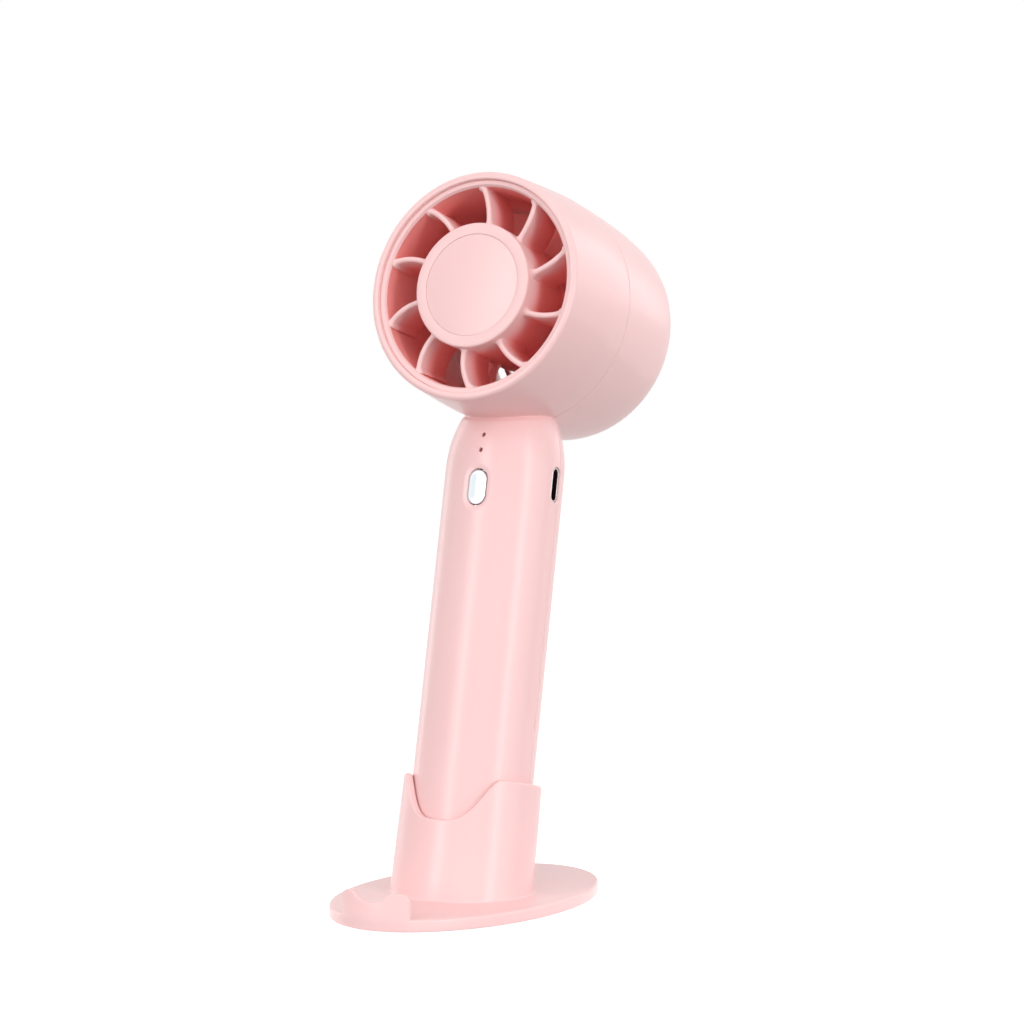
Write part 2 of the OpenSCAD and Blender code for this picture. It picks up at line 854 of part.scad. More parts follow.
module negative_lead() {
    color([0.10, 0.10, 0.11]) in_fan()
        wire([[10, -4.5, 14.5], [11.6, -3.6, 17], [12.4, -2.4, 22], [12.4, -2, 40], [12.4, -2, 60],
            [12.4, -2, 78], [12.2, -2.8, 82.5], [11, -4.4, 85.4], [8.8, -5.8, 86.5], [6.2, -6.2, 87.3],
            [4.6, -5.6, 89], [4, -4.8, 91], [4, -4.2, 93.5]], 0.5);
}

module motor_leads() {
    lead_colours = [[0.80, 0.10, 0.10], [0.90, 0.80, 0.15], [0.10, 0.10, 0.11]];
    for (i = [-1, 0, 1]) color(lead_colours[i + 1]) in_fan()
        let (x = lead_x + i * lead_pitch, gap = head_height - sqrt(pow(lead_gap_radius, 2) - x * x))
        wire([[x, -4.2, 118.5], [x, -5.2, 119.4], [x, -6.6, 121.6], [x, -7.4, 123.6], [x, -7.6, 126.4],
            [x, -7.9, 127.2], [x, -8.8, gap], [x, -10.2, gap], [x, lead_s + 0.2, gap + 0.15],
            [x, lead_s, gap + 1], [x, lead_s, 134], [x, lead_s, 142],
            [x, lead_s - 0.6, 143], [x, lead_s - 1.8, 143.7], [x, lead_s - 2.9, 144.4],
            [x, lead_s - 3.2, 145.8], [x, lead_s - 2.6, 146.8]], lead_radius);
}

// ---------------------------------------------------------------- draw

stand();
foot_pad();
front_shell();
rear_shell();
vane_ring();
hub_cap();
rear_grille();
impeller();
rotor_can();
motor_magnet();
motor_shaft();
shaft_clip();
bearing_holder();
motor_bearings();
motor_stator();
motor_windings();
motor_board();
motor_screws();
power_button();
switch_plunger();
tact_switch();
light_guide();
indicator_leds();
usb_shell();
usb_tongue();
control_board();
board_chips();
board_inductor();
board_capacitors();
board_screws();
battery_cell();
battery_tabs();
battery_pads();
positive_lead();
negative_lead();
motor_leads();
shell_screws();
screw_plugs();
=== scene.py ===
"""Looks of a handheld turbo fan in its table stand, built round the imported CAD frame."""

import json
import math

import bmesh
import bpy
import numpy as np
from mathutils import Matrix, Vector


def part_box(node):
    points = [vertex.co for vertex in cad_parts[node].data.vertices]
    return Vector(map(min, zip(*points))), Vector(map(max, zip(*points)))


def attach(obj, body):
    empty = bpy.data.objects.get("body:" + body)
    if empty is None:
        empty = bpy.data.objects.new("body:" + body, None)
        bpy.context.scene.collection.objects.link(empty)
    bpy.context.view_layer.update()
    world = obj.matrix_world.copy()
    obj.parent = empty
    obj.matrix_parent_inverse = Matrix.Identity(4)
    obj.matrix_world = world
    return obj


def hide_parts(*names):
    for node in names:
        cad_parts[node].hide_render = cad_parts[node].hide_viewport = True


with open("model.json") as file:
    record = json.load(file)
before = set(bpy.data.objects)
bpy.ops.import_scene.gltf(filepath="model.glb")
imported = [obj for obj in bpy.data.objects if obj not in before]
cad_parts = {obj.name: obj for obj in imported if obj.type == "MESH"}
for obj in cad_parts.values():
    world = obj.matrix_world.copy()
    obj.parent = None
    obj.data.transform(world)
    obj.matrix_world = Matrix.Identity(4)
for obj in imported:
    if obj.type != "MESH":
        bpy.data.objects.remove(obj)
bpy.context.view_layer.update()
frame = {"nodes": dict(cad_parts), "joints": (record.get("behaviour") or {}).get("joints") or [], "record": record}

# -------- frames and sizes
# Sizes are in millimetres, as in the CAD source. x is to the right, y from the outlet to the
# intake, z up: square to the table for the stand, and along the leaning handle for the fan.

MM = 0.001
joints = {joint["name"]: joint for joint in frame["joints"]}
fan_up = Vector(joints["fan_lift"]["axis"]).normalized()
fan_back = Vector(joints["impeller_spin"]["axis"]).normalized()
fan_right = fan_back.cross(fan_up)
head_centre = Vector(joints["impeller_spin"]["pos_m"])
lean = math.acos(fan_up.z)

HEAD_HEIGHT = 155.8
fan_foot = head_centre - fan_up * HEAD_HEIGHT * MM
FAN = Matrix.Translation(fan_foot) @ Matrix((fan_right, fan_back, fan_up)).transposed().to_4x4()
FAN = FAN @ Matrix.Scale(MM, 4)
HEAD = FAN @ Matrix.Translation((0, 0, HEAD_HEIGHT))
TABLE = Matrix.Scale(MM, 4)

HANDLE_A, HANDLE_B = 16, 14
HANDLE_BASE, BASE_ROUND = 6.6, 1.6
SHOULDER_START, SHOULDER_END, SHOULDER_DROP = 112, 125, 2.7
SHELL_WALL = 1.8
SEAM, SEAM_GAP, SEAM_ROUND = 0.9, 0.16, 0.2

LIP_FRONT, LIP_RADIUS, LIP_ROUND = -26.9, 29.95, 1.0
BARREL_PEAK, BARREL_RADIUS = -5.8, 31.4
BARREL_REAR, REAR_DROP = 31, 3.1
MOUTH_RADIUS, MOUTH_END, MOUTH_ROUND = 28, -21.9, 0.5
REAR_WALL, GRILLE_HOLE, HOLE_ROUND = 2, 26.3, 0.3
NECK_ROUND, NECK_STEPS, NECK_BLENDS = 1.2, (4, 5), 9
HANDLE_COLUMNS, BARREL_COLUMNS = 128, 160
NECK_WINDOW = 19

DUCT_RADIUS, DUCT_FRONT, SLEEVE_RADIUS, SLEEVE_REAR = 26.4, -25, 27.96, 12
HUB_RADIUS, HUB_FRONT, HUB_REAR = 16.4, -27.2, -8.8
CAP_RADIUS, CAP_SEAT = 13.35, 13.39
VANES, VANE_TURN, VANE_SWEEP = 10, -2.2, 8
VANE_FRONT, VANE_REAR, VANE_THICK = -24.8, -12, 1.45
VANE_BOW, VANE_FORWARD, VANE_FLARE = 0.85, 0.45, 0.75
BLADES = 7

BUTTON_Z, BUTTON_WIDTH, BUTTON_LENGTH, BUTTON_FACE = 105.8, 5, 9.1, -13.9
LIGHT_HEIGHTS, LIGHT_HOLE = (115.5, 119.6), 0.6
SOCKET_Y, SOCKET_Z, SOCKET_MOUTH, TONGUE_HALF = -0.8, 108.9, 15.6, 0.35
PLUG_X, PLUG_HEIGHTS, PLUG_HOLE = 8, (10.2, 83), 2.15

PAD_PROUD, PAD_THICK, PAD_INSET, PAD_GAP = 0.3, 0.8, 5, 0.1
PLATE_THICK = 3
PLATE_TOP = PAD_PROUD + PLATE_THICK
CUP_RIM, CUP_WALL, CUP_GAP, CUP_DRAFT = 31.6, 1.8, 0.4, 0.7
RIM_ROUND, FOOT_FILLET = 0.55, 0.6
DIP_DEPTH, DIP_HALF_WIDTH = 11.4, 13.5
STOP_HEIGHT, STOP_HALF_WIDTH, STOP_WALL, STOP_CORNER = 6.4, 10, 1.6, 2.8
NOTCH_RADIUS, NOTCH_BOTTOM = 7.6, 3.9


# -------- mesh tools

WELD = 1e-4
SHARP_ANGLE = 38


def span(start, end, cells):
    """The lines of a grid from start to end, with both ends."""
    return list(np.linspace(start, end, cells + 1))


def joined(*spans):
    """Spans that follow one another, with each shared end once."""
    out = list(spans[0])
    for more in spans[1:]:
        out += list(more)[1:]
    return out


def round_in(distance, radius):
    """How far a surface has drawn in at a distance from an edge with that radius."""
    if distance >= radius:
        return 0.0
    return radius - math.sqrt(max(0.0, radius ** 2 - (radius - max(distance, 0)) ** 2))


def round_distances(radius, steps):
    """Distances from an edge at which a quarter round has even turns."""
    return [radius * (1 - math.cos(math.pi / 2 * i / steps)) for i in range(steps + 1)]


def smooth(t):
    t = min(max(t, 0.0), 1.0)
    return t * t * (3 - 2 * t)


def rounded(corners, steps=4):
    """A closed outline from corners (a, b, radius), each rounded off by its radius."""
    out = []
    count = len(corners)
    for i, (a, b, radius) in enumerate(corners):
        here = np.array((a, b), float)
        before = np.array(corners[i - 1][:2], float) - here
        after = np.array(corners[(i + 1) % count][:2], float) - here
        if radius <= 0:
            out.append(here)
            continue
        u = before / np.linalg.norm(before)
        v = after / np.linalg.norm(after)
        half = 0.5 * math.acos(float(np.clip(u @ v, -1, 1)))
        cut = radius / math.tan(half)
        cut = min(cut, 0.49 * np.linalg.norm(before), 0.49 * np.linalg.norm(after))
        arm = cut * math.tan(half)
        middle = here + (u + v) / np.linalg.norm(u + v) * arm / math.sin(half)
        first, last = here + u * cut - middle, here + v * cut - middle
        turn = math.pi - 2 * half
        for k in range(steps + 1):
            t = k / steps
            spoke = math.sin((1 - t) * turn) * first + math.sin(t * turn) * last
            out.append(middle + spoke / math.sin(turn))
    return out


def oblong(a0, a1, b0, b1, first_round, last_round, steps=4):
    """A rounded oblong from (a0, b0) to (a1, b1), with one radius along b0 and one along b1."""
    return rounded([(a0, b0, first_round), (a1, b0, first_round),
                    (a1, b1, last_round), (a0, b1, last_round)], steps)


class Sheets:
    """Sheets of quads in millimetres, welded into one mesh at the end."""

    def __init__(self):
        self.points = []
        self.quads = []
        self.count = 0

    def grid(self, rows, closed=False, skip=()):
        """Adds a grid of points, without the (row, column) cells in skip.

        closed joins the last column to the first.
        """
        rows = np.asarray(rows, float)
        height, width = rows.shape[:2]
        start = self.count
        self.points.append(rows.reshape(height * width, -1))
        self.count += height * width
        for r in range(height - 1):
            for c in range(width if closed else width - 1):
                if (r, c) in skip:
                    continue
                d = (c + 1) % width
                a, b = start + r * width, start + (r + 1) * width
                self.quads.append((a + c, a + d, b + d, b + c))

    def loops(self, rows):
        """Adds closed loops of points, one after another, with the first and last loop filled."""
        rows = [np.asarray(row, float) for row in rows]
        first, last = [np.tile(row.mean(0), (len(row), 1)) for row in (rows[0], rows[-1])]
        self.grid([first, *rows, last], closed=True)

    def bmesh(self):
        """The sheets as a bmesh, in millimetres."""
        bm = bmesh.new()
        points = np.concatenate(self.points)
        with_inside = points.shape[1] > 3
        if with_inside:
            bm.verts.layers.float_vector.new("inner")
            bm.verts.layers.float.new("dent")
        verts = [bm.verts.new(p[:3]) for p in points]
        if with_inside:
            inner = bm.verts.layers.float_vector["inner"]
            dent = bm.verts.layers.float["dent"]
            for v, p in zip(verts, points):
                v[inner] = Vector(p[3:6])
                v[dent] = p[6]
        for quad in self.quads:
            bm.faces.new([verts[i] for i in quad])
        bmesh.ops.remove_doubles(bm, verts=bm.verts, dist=WELD)
        bmesh.ops.dissolve_degenerate(bm, edges=bm.edges, dist=WELD / 4)
        return bm


def finished_mesh(bm, name, place):
    """The bmesh as a Blender mesh in metres, smooth apart from its sharp edges."""
    bmesh.ops.recalc_face_normals(bm, faces=bm.faces)
    mesh = bpy.data.meshes.new(name)
    bm.transform(place)
    bm.to_mesh(mesh)
    bm.free()
    mesh.polygons.foreach_set("use_smooth", [True] * len(mesh.polygons))
    mesh.set_sharp_from_angle(angle=math.radians(SHARP_ANGLE))
    return mesh


def in_scene(name, data):
    """A new object of the scene."""
    obj = bpy.data.objects.new(name, data)
    bpy.context.scene.collection.objects.link(obj)
    return obj


def piece(name, body, made, place, material, stands_for, inside=None):
    """A piece of the object from sheets or a bmesh, riding on a body and standing for CAD nodes.

    The faces that inside(face) picks get the duct's painted shade, a deeper pink.
    """
    bm = made.bmesh() if isinstance(made, Sheets) else made
    if inside:
        bm.normal_update()
        for f in bm.faces:
            f.material_index = int(inside(f))
    obj = in_scene(name, finished_mesh(bm, name, place))
    obj.data.materials.append(material)
    if inside:
        obj.data.materials.append(duct_painted_shade)
    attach(obj, body)
    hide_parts(*stands_for)


def around(radius, along, turns):
    """Points of a circle round the barrel's axis, at angles clockwise from the top."""
    return [(radius * math.sin(t), along, radius * math.cos(t)) for t in turns]


def full_turn(segments):
    return [2 * math.pi * i / segments for i in range(segments)]


def quarter_turn(steps):
    return [math.pi / 2 * i / steps for i in range(steps + 1)]


def turned(sheets, outline, segments):
    """Adds a closed outline of (radius, along) turned round the barrel's axis."""
    rows = [around(max(p[0], 0), p[1], full_turn(segments)) for p in outline]
    sheets.grid(rows + rows[:1], closed=True)


def stadium_loop(half_width, half_length):
    """A stadium's outline in its own plane, long in the second coordinate."""
    straight = half_length - half_width
    steps = 12
    out = []
    for side, start in ((1, 0), (-1, math.pi)):
        for i in range(steps + 1):
            a = start + math.pi * i / steps
            out.append((half_width * math.cos(a), side * straight + half_width * math.sin(a)))
    return out


# -------- fan casing

def shoulder_inset(z):
    """How far the handle has drawn in below the barrel: a quadratic that levels off."""
    t = max(0.0, (z - SHOULDER_START) / (SHOULDER_END - SHOULDER_START))
    if t <= 1:
        return SHOULDER_DROP * t * t
    return SHOULDER_DROP * (1 + 0.5 * (1 - math.exp(-4 * (t - 1))))


def barrel_at(s):
    """The barrel's radius at s along its axis, widest at the peak."""
    if s < BARREL_PEAK:
        t = (BARREL_PEAK - s) / (BARREL_PEAK - LIP_FRONT)
        return BARREL_RADIUS - (BARREL_RADIUS - LIP_RADIUS) * t ** 1.25
    t = min(1.0, (s - BARREL_PEAK) / (BARREL_REAR - BARREL_PEAK))
    return BARREL_RADIUS - REAR_DROP * (1 - math.sqrt(1 - t * t))


def handle_axes(z, depth=0.0):
    """Half the handle's width and depth at a height, at a depth under its outside."""
    inset = round_in(z - HANDLE_BASE, BASE_ROUND) + shoulder_inset(z) + depth
    return HANDLE_A - inset, HANDLE_B - inset


def handle_skin(theta, z):
    """A point of the handle's outside with the point of the inside behind it."""
    a, b = handle_axes(z)
    c, s = math.cos(theta), math.sin(theta)
    inner_z = max(z, HANDLE_BASE + SHELL_WALL)
    ia, ib = handle_axes(inner_z, SHELL_WALL)
    return [a * c, b * s, z, ia * c, ib * s, inner_z, 0.0]


def barrel_skin(phi, s):
    """A point of the barrel's outside with the point of the inside behind it."""
    r = barrel_at(s)
    inner_s = min(s, BARREL_REAR - REAR_WALL)
    inner_r = r - SHELL_WALL
    if s < MOUTH_END:
        inner_r = MOUTH_RADIUS + round_in(s - LIP_FRONT, MOUTH_ROUND)
    return casing_point(phi, (r, s), (inner_r, inner_s), round_in(s - LIP_FRONT, LIP_ROUND))


def casing_point(phi, outer, inner, dent):
    """A point of the head's skin: its (radius, along) outside and inside, and its dent."""
    sn, cs = math.sin(phi), math.cos(phi)
    return [outer[0] * sn, outer[1], HEAD_HEIGHT + outer[0] * cs,
            inner[0] * sn, inner[1], HEAD_HEIGHT + inner[0] * cs, dent]


def front_skin(x, z, side=-1):
    """The handle's outside in front of x and z, or behind them where side is 1."""
    a, b = handle_axes(z)
    theta = math.acos(max(-1.0, min(1.0, x / a)))
    return handle_skin(side * theta, z)


def rear_skin(x, z):
    return front_skin(x, z, 1)


def right_skin(y, z):
    a, b = handle_axes(z)
    return handle_skin(math.asin(max(-1.0, min(1.0, y / b))), z)


def under_skin(x, s):
    """The barrel's underside at x and s."""
    return barrel_skin(math.pi - math.asin(x / barrel_at(s)), s)


def window_border(us, vs):
    """The grid lines' border points (u, v), counterclockwise from the middle of the last u."""
    loop = [(us[-1], v) for v in vs] + [(u, vs[-1]) for u in us[-2::-1]]
    loop += [(us[0], v) for v in vs[-2::-1]] + [(u, vs[0]) for u in us[1:-1]]
    half = (len(vs) - 1) // 2
    return loop[half:] + loop[:half]


def stadium_at(half_width, half_length):
    """The distance from a stadium's centre to its edge, grown by an offset, in a direction."""
    def reach(angle, offset):
        c, s = math.cos(angle), math.sin(angle)
        radius = half_width + offset
        straight = half_length - half_width
        if abs(s) * radius <= straight * abs(c):
            return radius / abs(c)
        return straight * abs(s) + math.sqrt(max(0.0, radius ** 2 - (straight * c) ** 2))
    return reach


def holed_window(skin, point, border, centre, reach, distances, dent):
    """Rings round a hole, spread out to meet a window's border, on the surface point(p, q)."""
    def near_hole(p, q, distance):
        angle = math.atan2(q - centre[1], p - centre[0])
        away = reach(angle, distance)
        return centre[0] + away * math.cos(angle), centre[1] + away * math.sin(angle)

    rings = []
    for distance in distances:
        ring = [point(*near_hole(p, q, distance)) for p, q in border]
        for made in ring:
            made[6] += dent(distance)
        rings.append(ring)
    blends = 4
    for k in range(1, blends + 1):
        t = k / blends
        ring = []
        for p, q in border:
            start = near_hole(p, q, distances[-1])
            ring.append(point(start[0] + (p - start[0]) * t, start[1] + (q - start[1]) * t))
        rings.append(ring)
    skin.grid(rings, closed=True)


def curve(start, pull, end, steps):
    """Points of a quadratic curve from start to end, pulled towards a third point."""
    return [start * (1 - t) ** 2 + pull * 2 * t * (1 - t) + end * t * t for t in span(0, 1, steps)]


def neck_rings(columns):
    """Rings from the handle's wall, over its rounded top edge, to a fillet under the barrel."""
    lines = []
    for theta in columns:
        c, s = math.cos(theta), math.sin(theta)
        # The height at which the handle's wall meets the barrel
        z = SHOULDER_END
        for _ in range(6):
            a, b = handle_axes(z)
            z = HEAD_HEIGHT - math.sqrt(barrel_at(b * s) ** 2 - (a * c) ** 2)

        def wall(inset, below):
            point = handle_skin(theta, z - below * NECK_ROUND)
            return np.array([point[0] - inset * c, point[1] - inset * s] + point[2:])

        ledge, reach = wall(0.4, 0.5), 0.1
        end = np.array(under_skin((a + reach) * c, (b + reach) * s))
        line = curve(wall(0, 1.3), wall(0, 0.85), ledge, NECK_STEPS[0])
        line += curve(ledge, wall(0.7, 0.15), end, NECK_STEPS[1])[1:]
        lines.append([list(point) for point in line])
    return [list(ring) for ring in zip(*lines)]


def casing_skin():
    """The whole outside of the handle and barrel as one open skin, with every hole in it."""
    skin = Sheets()
    neck = handle_sheets(skin)
    barrel_sheets(skin, neck)
    return skin


# The handle's rows are laid out so that each window starts and ends on one
PLUG_ROWS = ((7.3, 13.3), (79, 87))
BUTTON_ROWS = (98, 113.6)
LIGHT_ROWS = ((113.6, 117.6), (117.6, 121.6))


def handle_windows():
    """The holes of the handle.

    Each has a centre, a stadium's half width and length, the window's columns and rows, its place
    on the skin, its dent by distance from the edge, and the distances of its rings.
    """
    def edge_round(radius):
        return lambda distance: round_in(distance, radius)

    def button_dish(distance):
        return round_in(distance, 0.3) + 0.32 * (1 - smooth(distance / 1.5))

    fine = [0, 0.02, 0.06, 0.12]
    yield ((0, BUTTON_Z), (2.8, 4.85), (88, 104), BUTTON_ROWS, front_skin, button_dish,
           [0, 0.04, 0.12, 0.22, 0.32, 0.5, 0.75, 1.0, 1.25, 1.5])
    yield ((SOCKET_Y, SOCKET_Z), (1.78, 4.62), (122, 132), (103.2, 115.6), right_skin,
           edge_round(0.18), fine + [0.18, 0.3])
    for z, rows in zip(LIGHT_HEIGHTS, LIGHT_ROWS):
        yield ((0, z), (LIGHT_HOLE, LIGHT_HOLE), (93, 99), rows, front_skin, edge_round(0.12),
               fine + [0.2])
    for z, rows in zip(PLUG_HEIGHTS, PLUG_ROWS):
        for side, columns in ((1, (16, 26)), (-1, (38, 48))):
            yield ((side * PLUG_X, z), (PLUG_HOLE, PLUG_HOLE), columns, rows, rear_skin,
                   edge_round(0.12), fine + [0.25])


def handle_sheets(skin):
    """Adds the handle's wall, windows and underside, and gives the last ring under the barrel."""
    thetas = full_turn(HANDLE_COLUMNS)
    foot_rows = [HANDLE_BASE + d for d in round_distances(BASE_ROUND, 5)][:4]
    low_plugs, high_plugs = PLUG_ROWS
    rows = joined(
        foot_rows + [low_plugs[0]], span(*low_plugs, 8), span(low_plugs[1], high_plugs[0], 22),
        span(*high_plugs, 8), span(high_plugs[1], BUTTON_ROWS[0], 4), span(*BUTTON_ROWS, 12),
        span(*LIGHT_ROWS[0], 4), span(*LIGHT_ROWS[1], 4))
    rows = sorted(set(round(z, 6) for z in rows))
    neck = neck_rings(thetas)

    grid = [[handle_skin(theta, z) for theta in thetas] for z in rows]
    for t in (0.3, 0.6, 0.85):
        grid.append([handle_skin(theta, rows[-1] + (top[2] - rows[-1]) * t)
                     for theta, top in zip(thetas, neck[0])])
    grid += neck

    def row_of(z):
        return min(range(len(rows)), key=lambda i: abs(rows[i] - z))

    skipped = set()
    for centre, half, columns, heights, point, dent, distances in handle_windows():
        first, last = row_of(heights[0]), row_of(heights[1])
        turns = [2 * math.pi * c / HANDLE_COLUMNS for c in range(columns[0], columns[1] + 1)]
        axis, part = (1, math.sin) if point is right_skin else (0, math.cos)
        if point is rear_skin:
            turns = turns[::-1]
        border = [(handle_axes(z)[axis] * part(theta), z)
                  for theta, z in window_border(turns, rows[first:last + 1])]
        holed_window(skin, point, border, centre, stadium_at(*half), distances, dent)
        skipped |= {(r, c % HANDLE_COLUMNS) for r in range(first, last) for c in range(*columns)}
    skin.grid(grid, closed=True, skip=skipped)

    # The flat underside, where every x and y shrinks towards the middle
    rim = np.array(grid[0])
    skin.grid([rim * (k, k, 1, k, k, 1, 1) for k in (1, 0.97, 0.8, 0.5, 0.25, 0)], closed=True)
    return neck[-1]


def barrel_sheets(skin, neck):
    """Adds the barrel, with a window that meets the neck's last ring, and its rear face."""
    phis = full_turn(BARREL_COLUMNS)
    lip = [LIP_FRONT + d for d in round_distances(LIP_ROUND, 7)]
    tail = [BARREL_PEAK + (BARREL_REAR - BARREL_PEAK) * math.sin(a) for a in quarter_turn(28)]
    along = joined(lip, span(lip[-1], -NECK_WINDOW, 6), span(-NECK_WINDOW, NECK_WINDOW, 32))
    along += [s for s in tail if s > NECK_WINDOW + 0.4]
    first = along.index(-NECK_WINDOW)
    last = min(range(len(along)), key=lambda i: abs(along[i] - NECK_WINDOW))
    window = {(r, c) for r in range(first, last) for c in range(64, 96)}
    skin.grid([[barrel_skin(phi, s) for phi in phis] for s in along], closed=True, skip=window)

    turns = [2 * math.pi * c / BARREL_COLUMNS for c in range(96, 63, -1)]
    border = [(barrel_at(s) * math.sin(phi), s)
              for phi, s in window_border(turns, along[first:last + 1])]
    rings = [neck]
    for k in range(1, NECK_BLENDS + 1):
        t = k / NECK_BLENDS
        rings.append([under_skin(b[0] + (e[0] - b[0]) * t, b[1] + (e[1] - b[1]) * t)
                      for b, e in zip(neck, border)])
    skin.grid(rings, closed=True)

    # The rear face, from the barrel's round in to the grille's opening
    rear_radius = barrel_at(BARREL_REAR)
    width = rear_radius - GRILLE_HOLE
    face = []
    for distance in [width, 1.4, 0.8, 0.4] + round_distances(HOLE_ROUND, 4)[::-1]:
        outer = (GRILLE_HOLE + distance, BARREL_REAR)
        inner = (GRILLE_HOLE + distance * (rear_radius - SHELL_WALL - GRILLE_HOLE) / width,
                 BARREL_REAR - REAR_WALL)
        dent = round_in(distance, HOLE_ROUND)
        face.append([casing_point(phi, outer, inner, dent) for phi in phis])
    skin.grid(face, closed=True)


def shell_half(skin, side):
    """The casing in front of the seam, or behind it for side 1, with its thickness."""
    bm = skin.bmesh()
    edge = SEAM + side * SEAM_GAP / 2
    for distance in round_distances(SEAM_ROUND, 3):
        geometry = bm.verts[:] + bm.edges[:] + bm.faces[:]
        bmesh.ops.bisect_plane(
            bm, geom=geometry, dist=WELD / 10, plane_co=(0, edge + side * distance, 0),
            plane_no=(0, -side, 0), clear_outer=distance == 0)
    inner_layer = bm.verts.layers.float_vector["inner"]
    dent_layer = bm.verts.layers.float["dent"]
    bmesh.ops.recalc_face_normals(bm, faces=bm.faces)
    highest = max(bm.verts, key=lambda v: v.co.z)
    if highest.normal.z < 0:
        bmesh.ops.reverse_faces(bm, faces=bm.faces)

    made = bmesh.new()
    outer, inner = {}, {}
    for v in bm.verts:
        inside = Vector(v[inner_layer])
        inside.y = min(inside.y, edge) if side < 0 else max(inside.y, edge)
        depth = v[dent_layer] + round_in(side * (v.co.y - edge), SEAM_ROUND)
        direction = (Vector(v[inner_layer]) - v.co).normalized()
        outer[v] = made.verts.new(v.co + direction * depth)
        inner[v] = made.verts.new(inside)
    for f in bm.faces:
        made.faces.new([outer[v] for v in f.verts])
        made.faces.new([inner[v] for v in reversed(f.verts)])
    for e in bm.edges:
        if e.is_boundary:
            loop = e.link_loops[0]
            a, b = loop.vert, loop.link_loop_next.vert
            made.faces.new([outer[b], outer[a], inner[a], inner[b]])
    bm.free()
    return made


def barrel_inside_painted_shade(face):
    """Whether a face of the casing is the barrel's inner wall, behind the outlet's front, where shade is painted.
    """
    centre = face.calc_center_median()
    radius = math.hypot(centre.x, centre.z - HEAD_HEIGHT)
    return (MOUTH_END + 0.9 < centre.y < BARREL_REAR - REAR_WALL + 0.1
            and radius < barrel_at(centre.y) - SHELL_WALL / 2)


# -------- outlet and intake

def duct_wall_painted_shade(face):
    """Whether a face of the outlet insert is the duct's wall, from its rounded edge back, where shade is painted.
    """
    centre = face.calc_center_median()
    outwards = Vector((centre.x, 0, centre.z))
    return (outwards.length > DUCT_RADIUS - 0.7 and centre.y > DUCT_FRONT + 0.3
            and face.normal.dot(outwards.normalized()) < -0.7)


def vane_ring():
    ring = Sheets()
    turned(ring, rounded([
        (DUCT_RADIUS, DUCT_FRONT, 0.3), (DUCT_RADIUS + 0.5, -25.8, 0.35),
        (SLEEVE_RADIUS, -25.75, 0.05), (SLEEVE_RADIUS, SLEEVE_REAR, 0.12),
        (SLEEVE_RADIUS - 0.46, SLEEVE_REAR, 0.1), (DUCT_RADIUS, 8, 0.4)]), 160)
    turned(ring, rounded([
        (CAP_SEAT, HUB_FRONT, 0.1), (HUB_RADIUS, HUB_FRONT, 0.55), (HUB_RADIUS, HUB_REAR, 0.2),
        (3.65, HUB_REAR, 0.1), (3.65, -10.4, 0.1), (15, -10.4, 0.4), (15, -24.7, 0.2),
        (12, -24.7, 0.1), (12, -26.15, 0.1), (CAP_SEAT, -26.15, 0.05)]), 128)
    for i in range(VANES):
        vane(ring, math.radians(VANE_TURN + 360 * i / VANES))
    return ring


def vane(ring, turn):
    """One guide vane: bowed, rounded at both edges and flared into the sleeve and the hub."""
    tip = np.array((math.sin(turn), math.cos(turn))) * DUCT_RADIUS
    root_turn = turn + math.radians(VANE_SWEEP)
    root = np.array((math.sin(root_turn), math.cos(root_turn))) * HUB_RADIUS
    chord = root - tip
    length = np.linalg.norm(chord)
    normal = np.array((-chord[1], chord[0])) / length
    rows = []
    for t in joined(span(-0.05, 0.12, 6), span(0.12, 0.88, 12), span(0.88, 1.06, 6)):
        middle = tip + chord * t + normal * VANE_BOW * 4 * t * (1 - t)
        along = chord + normal * VANE_BOW * 4 * (1 - 2 * t)
        side = np.array((-along[1], along[0])) / np.linalg.norm(along)
        gap = max(0.0, min(t, 1 - t)) * length
        flare = VANE_FLARE * math.exp(-gap / 0.42)
        half = VANE_THICK / 2 + flare
        front = VANE_FRONT - VANE_FORWARD * 4 * max(0, t * (1 - t)) - 0.5 * flare
        rear = VANE_REAR + 0.5 * flare
        tight = half * 0.97
        row = []
        for s, w in rounded([(front, -half, tight), (front, half, tight),
                             (rear, half, tight), (rear, -half, tight)]):
            x, z = middle + side * w
            row.append((x, s, z))
        rows.append(row)
    ring.loops(rows)


def hub_cap():
    cap = Sheets()
    face = HUB_FRONT + 0.12
    rear, skirt, dish = face + 0.9, face + 2.5, face - 0.02
    outline = rounded([
        (7, dish, 0), (CAP_RADIUS, face, 0.1), (CAP_RADIUS, rear, 0.1), (11.8, rear, 0.1),
        (11.8, skirt, 0.15), (10.6, skirt, 0.15), (10.6, rear, 0.2)])
    turned(cap, [(0, dish)] + outline[1:] + [(0, rear)], 128)
    return cap


def impeller():
    wheel = Sheets()
    nose = [(3 + 13.2 * math.cos(a), 3 + 7 * math.sin(a)) for a in quarter_turn(12)]
    turned(wheel, [(12.95, -7.8), (13.15, -8), (15.9, -8), (16.2, -7.7)] + nose
           + [(0, 10), (0, 0.45), (12.75, 0.45), (12.95, 0.25)], 112)
    for turn in full_turn(BLADES):
        blade(wheel, turn)
    return wheel


